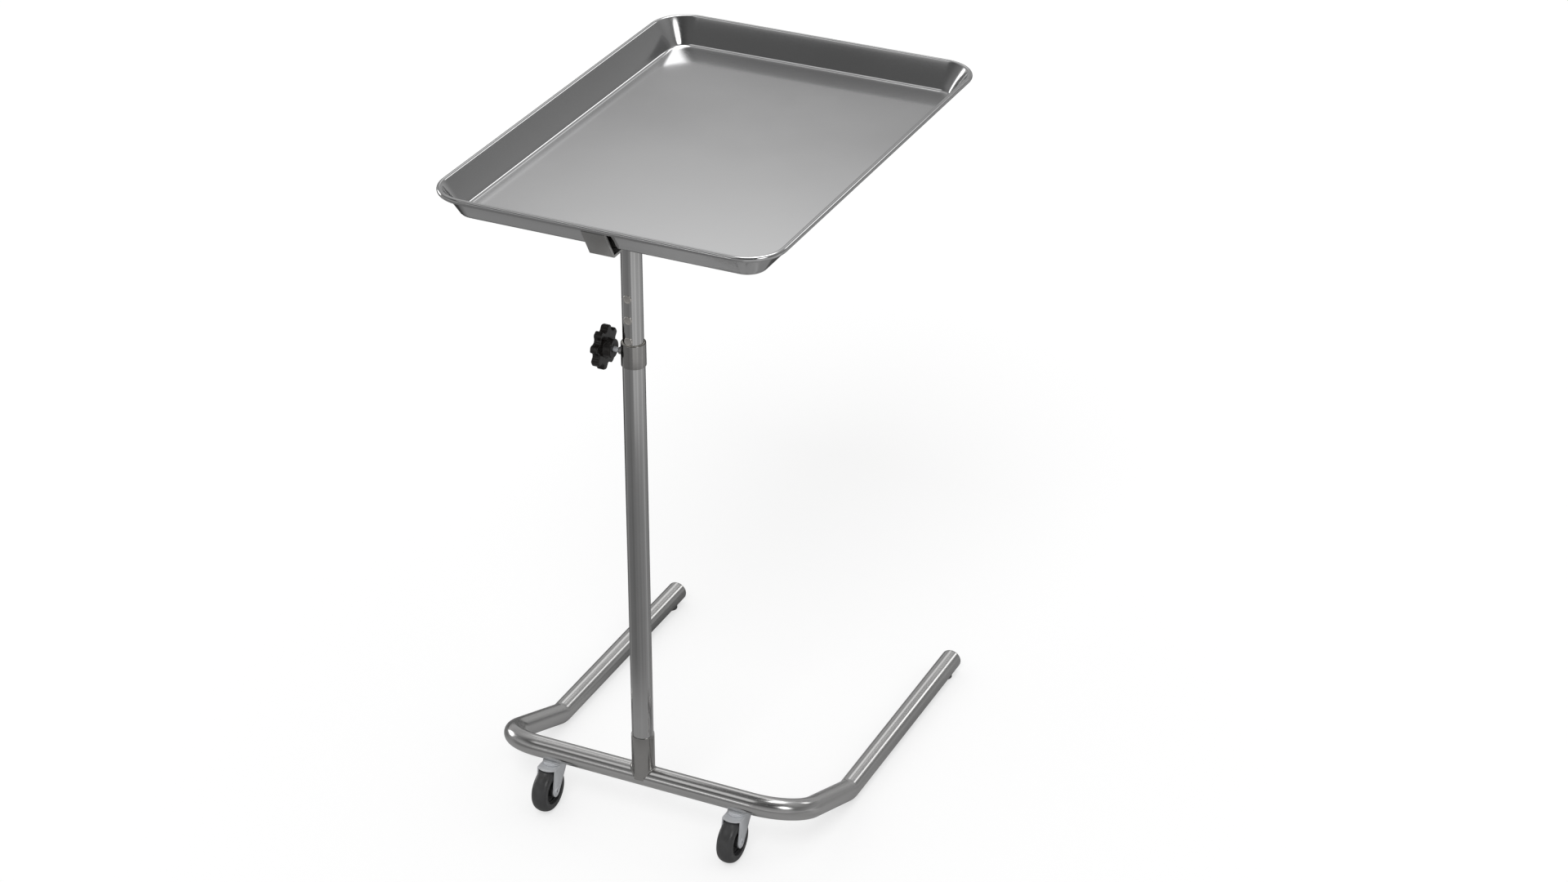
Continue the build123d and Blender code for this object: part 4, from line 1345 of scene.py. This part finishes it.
@dataclass
class Caster:
    """One swivel caster; millimetres, with its stem at x.

    The tyre's flank, half the wheel's section and half the axle's are profiles as (from the middle, radius), the
    flank's radii being counted from the seat.
    """

    side: str
    x: float
    y: float = -201.6
    trail: float = 14.0
    wheel_r: float = 27.5
    width: float = 19.4
    crown: float = 6.0
    crown_spans: int = 32
    seat: float = 17.0
    seat_gap: float = 0.02
    ring_low: float = 1.6
    ring_high: float = 2.8
    ring_depth: float = 0.3
    rim_width: float = 13.0
    rim: float = 2.4
    web: float = 6.0
    hub_r: float = 8.0
    bore: float = 4.6
    fork_inner: float = 10.3
    fork_half: float = 12.0
    hub_gap: float = 0.35
    axle_bore: float = 1.5
    axle_r: float = 3.0
    axle_head_r: float = 4.2
    axle_head: float = 1.0
    sleeve_bore: float = 3.05
    sleeve_r: float = 4.55
    ball_r: float = 1.05
    ball_ring: float = 8.2
    ball_height: float = 57.45
    balls: int = 8

    def axle_point(self) -> Vector:
        """The wheel's centre.

        Returns:
            The point, metres.
        """
        return Vector((self.x, self.y - self.trail, self.wheel_r)) * MM

    def round_piece(self, name: str, profile: Sequence[Point], finish: Finish, spans: int = 96) -> bpy.types.Object:
        """A piece turned about the axle.

        Args:
            name: Its name.
            profile: Its closed outline.
            finish: Its finish.
            spans: Spans round it.

        Returns:
            The piece.
        """
        return turned(f"{self.side}_{name}", self.axle_point(), Vector((1.0, 0.0, 0.0)), profile, finish, spans)

    def tyre(self) -> None:
        """Mould the tyre with a crowned tread and a raised ring on each flank."""
        half, shoulder, seat, deep = self.width / 2, self.wheel_r - self.crown, self.seat, self.ring_depth
        low, high = seat + self.ring_low, seat + self.ring_high
        flank = [(0.5 - half, seat + self.seat_gap), (-half, low - 1.0), (-half, low), (deep - half, low + deep)]
        flank += [(deep - half, high - deep), (-half, high)]
        for i in range(self.crown_spans // 2):
            angle = math.pi * (1 - i / self.crown_spans)
            flank.append((half * math.cos(angle), shoulder + self.crown * math.sin(angle)))
        profile = [*flank, (0.0, self.wheel_r), *mirrored(flank)[len(flank):]]
        piece = self.round_piece("tyre_moulding", profile, TYRE_RUBBER, 144)
        keep(piece, f"wheel_{self.side}", "tyre_rubber", f"caster_{self.side}_tyre")

    def wheel(self) -> None:
        """Mould the wheel centre: hub, web and rim."""
        hub, rim, low = self.fork_inner - self.hub_gap, self.rim_width / 2, self.seat - self.rim
        web, hub_r = self.web / 2, self.hub_r
        profile = mirrored([
            (-hub, self.bore), (-hub, hub_r - 0.6), (0.6 - hub, hub_r), (-web - 1.0, hub_r), (-web, hub_r + 1.0),
            (-web, low - 1.0), (-web - 1.0, low), (0.3 - rim, low), (-rim, low + 0.3), (-rim, self.seat),
        ])
        piece = self.round_piece("wheel_moulding", profile, BLACK_PLASTIC)
        keep(piece, f"wheel_{self.side}", "black_plastic", f"caster_{self.side}_wheel")

    def axle(self) -> None:
        """Make the hollow rivet, with a rolled head outside each fork leg, and its sleeve."""
        leg, head, bore = self.fork_half, self.axle_head_r, self.axle_bore
        end = leg + self.axle_head
        profile = mirrored([
            (0.3 - end, bore), (-end, bore + 0.4), (-end, head - 0.7), (0.7 - end, head), (-leg, head),
            (-leg, self.axle_r),
        ])
        body = f"caster_{self.side}"
        keep(self.round_piece("axle_rivet", profile, ZINC, 64), body, "zinc_steel", f"{body}_axle")
        ring = eased_box(-self.fork_inner, self.fork_inner, self.sleeve_bore, self.sleeve_r, 0.2)
        keep(self.round_piece("axle_sleeve", ring, ZINC, 64), body, "zinc_steel", f"{body}_spacer")

    def bearing(self) -> None:
        """Set the ring of balls."""
        mesh = bpy.data.meshes.new("ball")
        work = bmesh.new()
        bmesh.ops.create_icosphere(work, subdivisions=3, radius=self.ball_r * MM)
        work.to_mesh(mesh)
        work.free()
        mesh.polygons.foreach_set("use_smooth", [True] * len(mesh.polygons))
        ball = linked("ball", mesh)
        centre = Vector((self.x, self.y, self.ball_height)) * MM
        places = []
        for i in range(self.balls):
            angle = 2 * math.pi * i / self.balls
            places.append(centre + Vector((math.cos(angle), math.sin(angle), 0.0)) * (self.ball_ring * MM))
        ring = scatter(f"{self.side}_bearing_balls", ball, places, BALL_STEEL, spin=180.0)
        keep(ring, f"caster_{self.side}", "bright_steel", f"caster_{self.side}_balls")

    def build(self, nodes: dict[str, bpy.types.Object]) -> None:
        """Make the caster.

        Args:
            nodes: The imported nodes.
        """
        self.tyre()
        self.wheel()
        self.axle()
        self.bearing()
        fork = eased(f"{self.side}_pressed_fork", nodes[f"caster_{self.side}_fork"], ZINC, 0.0003)
        keep(fork, f"caster_{self.side}", "zinc_steel", f"caster_{self.side}_fork")
        for name in ("stem", "race"):
            piece = eased(f"{self.side}_{name}_eased", nodes[f"caster_{self.side}_{name}"], ZINC, 0.0002)
            keep(piece, "base", "zinc_steel", f"caster_{self.side}_{name}")


@dataclass
class FloorFrame:
    """The bent floor tube and the plugs that close its leg ends; metres, the plug's own sizes in millimetres."""

    y: float = -0.2016
    half_spacing: float = 0.19285
    reach: float = 0.4683
    flange: float = 0.002
    kink_reach: float = 0.1494
    leg_height: float = 0.015
    bar_height: float = 0.074
    corner_bend: float = 0.054
    kink_bend: float = 0.03
    outer: float = 0.0127
    bore: float = 0.0112
    plug_long: float = 16.0
    plug_wall: float = 2.0
    plug_fit: float = 0.05
    plug_edge: float = 1.2

    def build(self) -> None:
        """Make the bent tube and its end plugs."""
        end, kink, x = self.y + self.reach - self.flange, self.y + self.kink_reach, self.half_spacing
        corners = [
            Vector((-x, end, self.leg_height)), Vector((-x, kink, self.leg_height)),
            Vector((-x, self.y, self.bar_height)), Vector((x, self.y, self.bar_height)),
            Vector((x, kink, self.leg_height)), Vector((x, end, self.leg_height)),
        ]
        bends = (self.kink_bend, self.corner_bend, self.corner_bend, self.kink_bend)
        route = rounded_route(corners, bends, 24)
        tube = tube_body("floor_frame_tube", route, self.outer, self.bore, FRAME_STEEL, 72)
        keep(tube, "base", "satin_steel", "base_frame")
        self.caps(end)

    def caps(self, end: float) -> None:
        """Turn the plugs that close the leg ends.

        Args:
            end: Where the tube ends along Y.
        """
        outer, bore, long, edge = self.outer / MM, self.bore / MM - self.plug_fit, self.plug_long, self.plug_edge
        flange = self.flange / MM
        profile = [(0.0, 0.0), (0.0, bore - self.plug_wall), (-long, bore - self.plug_wall), (-long, bore - 0.4)]
        profile += [(0.4 - long, bore), (0.0, bore), (0.0, outer - 0.1), (0.1, outer)]
        profile += [*arc((flange - edge, outer - edge), edge, 90.0, 0.0, 8), (flange, 0.0)]
        plugs = []
        for x in (-self.half_spacing, self.half_spacing):
            centre = Vector((x, end, self.leg_height))
            plugs.append(turned("plug", centre, Vector((0.0, 1.0, 0.0)), profile, FRAME_STEEL, 72))
        keep(merged("leg_end_caps", plugs), "base", "satin_steel", "leg_end_plugs")


@dataclass(frozen=True)
class PaintedReflectionBand:
    """Painted reflections: floor tones only polished metal sees, as (degrees round the column, tone), and where they
    fade in.
    """

    stops: tuple[Point, ...]
    near: float
    full: float


@dataclass(frozen=True)
class Window:
    """A bright window of the room: its direction, the cosines of its edge and of its full part, and its strength."""

    way: tuple[float, float, float]
    edge: float
    full: float
    strength: float


@dataclass
class Studio:
    """Floor, light, reflected room and camera; metres and degrees."""

    floor_size: float = 16.0
    room_radius: float = 20.0
    camera_at: tuple[float, float, float] = (1.5344, -3.0855, 2.3174)
    camera_tilt: float = 61.10
    camera_turn: float = 25.158
    lens: float = 77.89
    sensor: float = 36.0
    column_y: float = -0.2016
    floor_level: float = 0.42
    floor_glow: float = 0.62
    world_light: float = 0.72
    key_power: float = 0.9
    key_spread: float = 25.0
    key_turn: tuple[float, float, float] = (38.0, -14.0, 30.0)
    # Painted reflections: floor bands, seen only by glossy rays, that stand in for streaks of reflected light and
    # shade in the tubes.
    painted_reflection_bands: tuple[PaintedReflectionBand, ...] = (
        PaintedReflectionBand((
            (-180.0, 0.5), (-128.0, 0.5), (-112.0, 0.85), (-98.0, 0.55), (-60.0, 0.52), (-42.0, 0.46), (-30.0, 0.56),
            (-12.0, 0.58), (-3.0, 0.66), (22.0, 0.62), (34.0, 0.76), (48.0, 0.7), (74.0, 0.85), (86.0, 1.2),
            (98.0, 0.8), (130.0, 0.75), (180.0, 0.5),
        ), 0.24, 0.4),
        PaintedReflectionBand((
            (-180.0, 0.2), (-138.0, 0.3), (-126.0, 1.0), (132.0, 1.0), (146.0, 0.4), (180.0, 0.2),
        ), 0.6, 0.8),
        PaintedReflectionBand((
            (-180.0, 1.1), (-40.0, 1.15), (-10.0, 1.2), (-3.0, 2.2), (36.0, 2.05), (52.0, 1.6), (80.0, 1.3),
            (180.0, 1.1),
        ), 0.8, 1.15),
    )
    room_front: float = 0.12
    room_back: float = 0.34
    room_right: float = 0.65
    windows: tuple[Window, ...] = (
        Window((-0.40, 0.80, 0.62), 0.982, 0.9985, 0.68),
        Window((0.372, 0.792, 0.50), 0.993, 0.998, 2.0),
        Window((0.73, -0.31, 0.60), 0.975, 0.985, 2.5),
        Window((-0.973, 0.191, 0.107), 0.97, 0.985, 2.5),
        Window((0.0, 0.35, 0.94), 0.93, 0.97, 2.6),
        Window((-0.327, -0.417, 0.848), 0.968, 0.992, 0.7),
        Window((-0.34, -0.915, 0.21), 0.9975, 0.9993, 1.8),
    )

    def floor(self) -> None:
        """Lay a plain pale floor that shows white and keeps the shadow; polished metal sees painted reflection bands
        on it.
        """
        mesh = bpy.data.meshes.new("floor")
        ring = arc((0.0, 0.0), self.floor_size, 0.0, 360.0, 96)[:-1]
        mesh.from_pydata([(x, y, 0.0) for x, y in ring], [], [list(range(len(ring)))])
        made, graph = Graph.blank("pale_floor")
        path = graph.add("ShaderNodeLightPath").outputs
        seen = graph.math("MAXIMUM", path["Is Camera Ray"], path["Is Transmission Ray"])
        diffuse = graph.add("ShaderNodeBsdfDiffuse", {"Color": self.floor_tone_with_painted_reflections(graph, path["Is Glossy Ray"])})
        glow = graph.add("ShaderNodeEmission", {"Color": (1.0, 1.0, 1.0, 1.0), "Strength": self.floor_glow})
        both = graph.add("ShaderNodeAddShader", {0: diffuse.outputs[0], 1: glow.outputs[0]})
        mix = graph.add("ShaderNodeMixShader", {0: seen, 1: diffuse.outputs[0], 2: both.outputs[0]})
        graph.add("ShaderNodeOutputMaterial", {"Surface": mix.outputs[0]})
        mesh.materials.append(made)
        linked("floor", mesh)

    def floor_tone_with_painted_reflections(self, graph: Graph, glossy: bpy.types.NodeSocket) -> bpy.types.NodeSocket:
        """Tone of the floor: plain, but with painted reflections round the column, lighter and darker bands that only
        polished metal sees.

        Args:
            graph: The floor's shader.
            glossy: One for rays that come off polished metal.

        Returns:
            The tone.
        """
        place = graph.add("ShaderNodeTexCoord").outputs["Object"]
        place = graph.vector("SUBTRACT", place, (0.0, self.column_y, 0.0)).outputs[0]
        turn = math.radians(self.camera_turn)
        ahead = graph.vector("DOT_PRODUCT", place, (math.sin(turn), -math.cos(turn), 0.0)).outputs["Value"]
        right = graph.vector("DOT_PRODUCT", place, (math.cos(turn), math.sin(turn), 0.0)).outputs["Value"]
        angle = graph.math("MULTIPLY_ADD", graph.math("ARCTAN2", right, ahead), 0.5 / math.pi, 0.5)
        far = graph.vector("LENGTH", place).outputs["Value"]
        painted_reflection_tones = []
        # Each band paints lighter and darker tones round the column, for glossy rays only.
        for band in self.painted_reflection_bands:
            node = graph.add("ShaderNodeValToRGB", {0: angle})
            node.color_ramp.interpolation = "EASE"
            points = node.color_ramp.elements
            while len(points) < len(band.stops):
                points.new(0.5)
            for point, (degrees, level) in zip(points, band.stops):
                point.position = degrees / 360 + 0.5
                point.color = (level, level, level, 1.0)
            share = graph.math("MULTIPLY", graph.ramp(far, band.near, band.full, 0.0, 1.0), glossy)
            white = graph.math("SUBTRACT", 1.0, share)
            painted_reflection_tones.append(graph.math("MULTIPLY_ADD", node.outputs[0], share, white))
        tone = graph.math("MULTIPLY", graph.math("MULTIPLY", painted_reflection_tones[0], painted_reflection_tones[1]), painted_reflection_tones[2])
        tone = graph.math("MULTIPLY", tone, self.floor_level)
        return graph.add("ShaderNodeCombineColor", {0: tone, 1: tone, 2: tone}).outputs[0]

    def room(self) -> None:
        """Hang a dim room with bright windows, which only polished metal reflects."""
        mesh = bpy.data.meshes.new("room")
        work = bmesh.new()
        bmesh.ops.create_uvsphere(work, u_segments=48, v_segments=24, radius=self.room_radius)
        work.to_mesh(mesh)
        work.free()
        made, graph = Graph.blank("room_walls")
        place = graph.vector("NORMALIZE", graph.add("ShaderNodeTexCoord").outputs["Object"]).outputs[0]
        part = graph.add("ShaderNodeSeparateXYZ", {0: place}).outputs
        height, back, side = part["Z"], part["Y"], part["X"]
        level = graph.ramp(back, -0.5, 0.6, self.room_front, self.room_back)
        level = graph.math("MULTIPLY", level, graph.ramp(side, 0.0, 0.5, 1.0, self.room_right))
        for start, end, low, high, over in (
            (0.3, 0.9, 0.0, 0.22, graph.ramp(back, -0.3, 0.3, 0.0, 1.0)), (0.12, 0.42, 0.1, 0.0, 1.0),
            (0.3, 0.62, 0.22, 0.0, graph.ramp(back, -0.5, 0.0, 1.0, 0.0)),
        ):
            level = graph.math("MULTIPLY_ADD", graph.ramp(height, start, end, low, high), over, level)
        for window in self.windows:
            way = tuple(Vector(window.way).normalized())
            close = graph.vector("DOT_PRODUCT", place, way).outputs["Value"]
            level = graph.math("ADD", level, graph.ramp(close, window.edge, window.full, 0.0, window.strength))
        glow = graph.add("ShaderNodeEmission", {"Strength": level})
        graph.add("ShaderNodeOutputMaterial", {"Surface": glow.outputs[0]})
        mesh.materials.append(made)
        room = linked("room", mesh)
        room.visible_camera = False
        room.visible_diffuse = False
        room.visible_transmission = False
        room.visible_shadow = False
        room.visible_volume_scatter = False

    def light(self) -> None:
        """Set the pale surroundings and one soft lamp."""
        world = bpy.data.worlds.new("studio")
        bpy.context.scene.world = world
        world.use_nodes = True
        world.node_tree.nodes.clear()
        graph = Graph(world.node_tree)
        path = graph.add("ShaderNodeLightPath").outputs
        seen = graph.math("MAXIMUM", path["Is Camera Ray"], path["Is Glossy Ray"])
        seen = graph.math("MAXIMUM", seen, path["Is Transmission Ray"])
        strength = graph.ramp(seen, 0.0, 1.0, self.world_light, 1.0)
        back = graph.add("ShaderNodeBackground", {"Color": (1.0, 1.0, 1.0, 1.0), "Strength": strength})
        graph.add("ShaderNodeOutputWorld", {"Surface": back.outputs[0]})
        lamp = bpy.data.lights.new("key", "SUN")
        lamp.energy = self.key_power
        lamp.angle = math.radians(self.key_spread)
        key = linked("key", lamp)
        key.visible_glossy = False
        key.rotation_euler = tuple(math.radians(turn) for turn in self.key_turn)

    def camera(self) -> None:
        """Set the camera at the photograph's place."""
        data = bpy.data.cameras.new("camera")
        data.lens = self.lens
        data.sensor_width = self.sensor
        camera = linked("camera", data)
        camera.location = self.camera_at
        camera.rotation_euler = (math.radians(self.camera_tilt), 0.0, math.radians(self.camera_turn))
        bpy.context.scene.camera = camera
        bpy.context.scene.view_settings.view_transform = "Standard"

    def build(self) -> None:
        """Set the whole studio."""
        self.floor()
        self.room()
        self.light()
        self.camera()


def dress_packed(nodes: dict[str, bpy.types.Object], rows: Iterable[dict]) -> None:
    """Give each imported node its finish.

    Args:
        nodes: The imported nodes.
        rows: The record's rows, each with a node and its material slot.
    """
    plan = {
        "satin_steel": TUBE_STEEL, "bright_steel": TUBE_STEEL, "strap_steel": BAR_STEEL, "tray_steel": SHEET_STEEL,
        "zinc_steel": ZINC, "black_plastic": BLACK_PLASTIC, "knob_plastic": KNOB_PLASTIC,
        "white_plastic": NYLON, "grey_rubber": PAD_RUBBER, "tyre_rubber": TYRE_RUBBER, "brass": BRASS,
    }
    for row in rows:
        mesh = nodes[row["node"]].data
        mesh.materials.clear()
        mesh.materials.append(Paint.of(plan[row["material_slot"]]))


def ease_rest(nodes: dict[str, bpy.types.Object]) -> None:
    """Copy the small hidden pieces with broken edges.

    Args:
        nodes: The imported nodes.
    """
    for name, body, slot, finish in (
        ("leg_glides", "base", "grey_rubber", PAD_RUBBER),
        ("caster_inserts", "base", "zinc_steel", ZINC),
        ("column_base_plug", "base", "zinc_steel", ZINC),
        ("socket_screw", "base", "zinc_steel", ZINC),
        ("guide_bush", "base", "white_plastic", NYLON),
        ("column_guide_ring", "column_guide", "white_plastic", NYLON),
        ("column_top_plug", "upper_column", "zinc_steel", ZINC),
        ("clamp_tip", "clamp_tip", "white_plastic", NYLON),
        ("knob_insert", "clamp_knob", "brass", BRASS),
    ):
        keep(eased(f"{name}_eased", nodes[name], finish, 0.00015), body, slot, name)


def main() -> None:
    logging.basicConfig(level=logging.INFO, format="%(name)s: %(message)s")
    for thing in list(bpy.data.objects):
        bpy.data.objects.remove(thing)
    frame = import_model()
    nodes = frame["nodes"]
    Studio().build()
    dress_packed(nodes, frame["record"]["subparts"])
    Tray().build()
    Column().build()
    Clamp().build()
    Support().build(nodes)
    FloorFrame().build()
    for side, x in (("left", -CASTER_X), ("right", CASTER_X)):
        Caster(side, x).build(nodes)
    ease_rest(nodes)


if __name__ == "__main__":
    main()
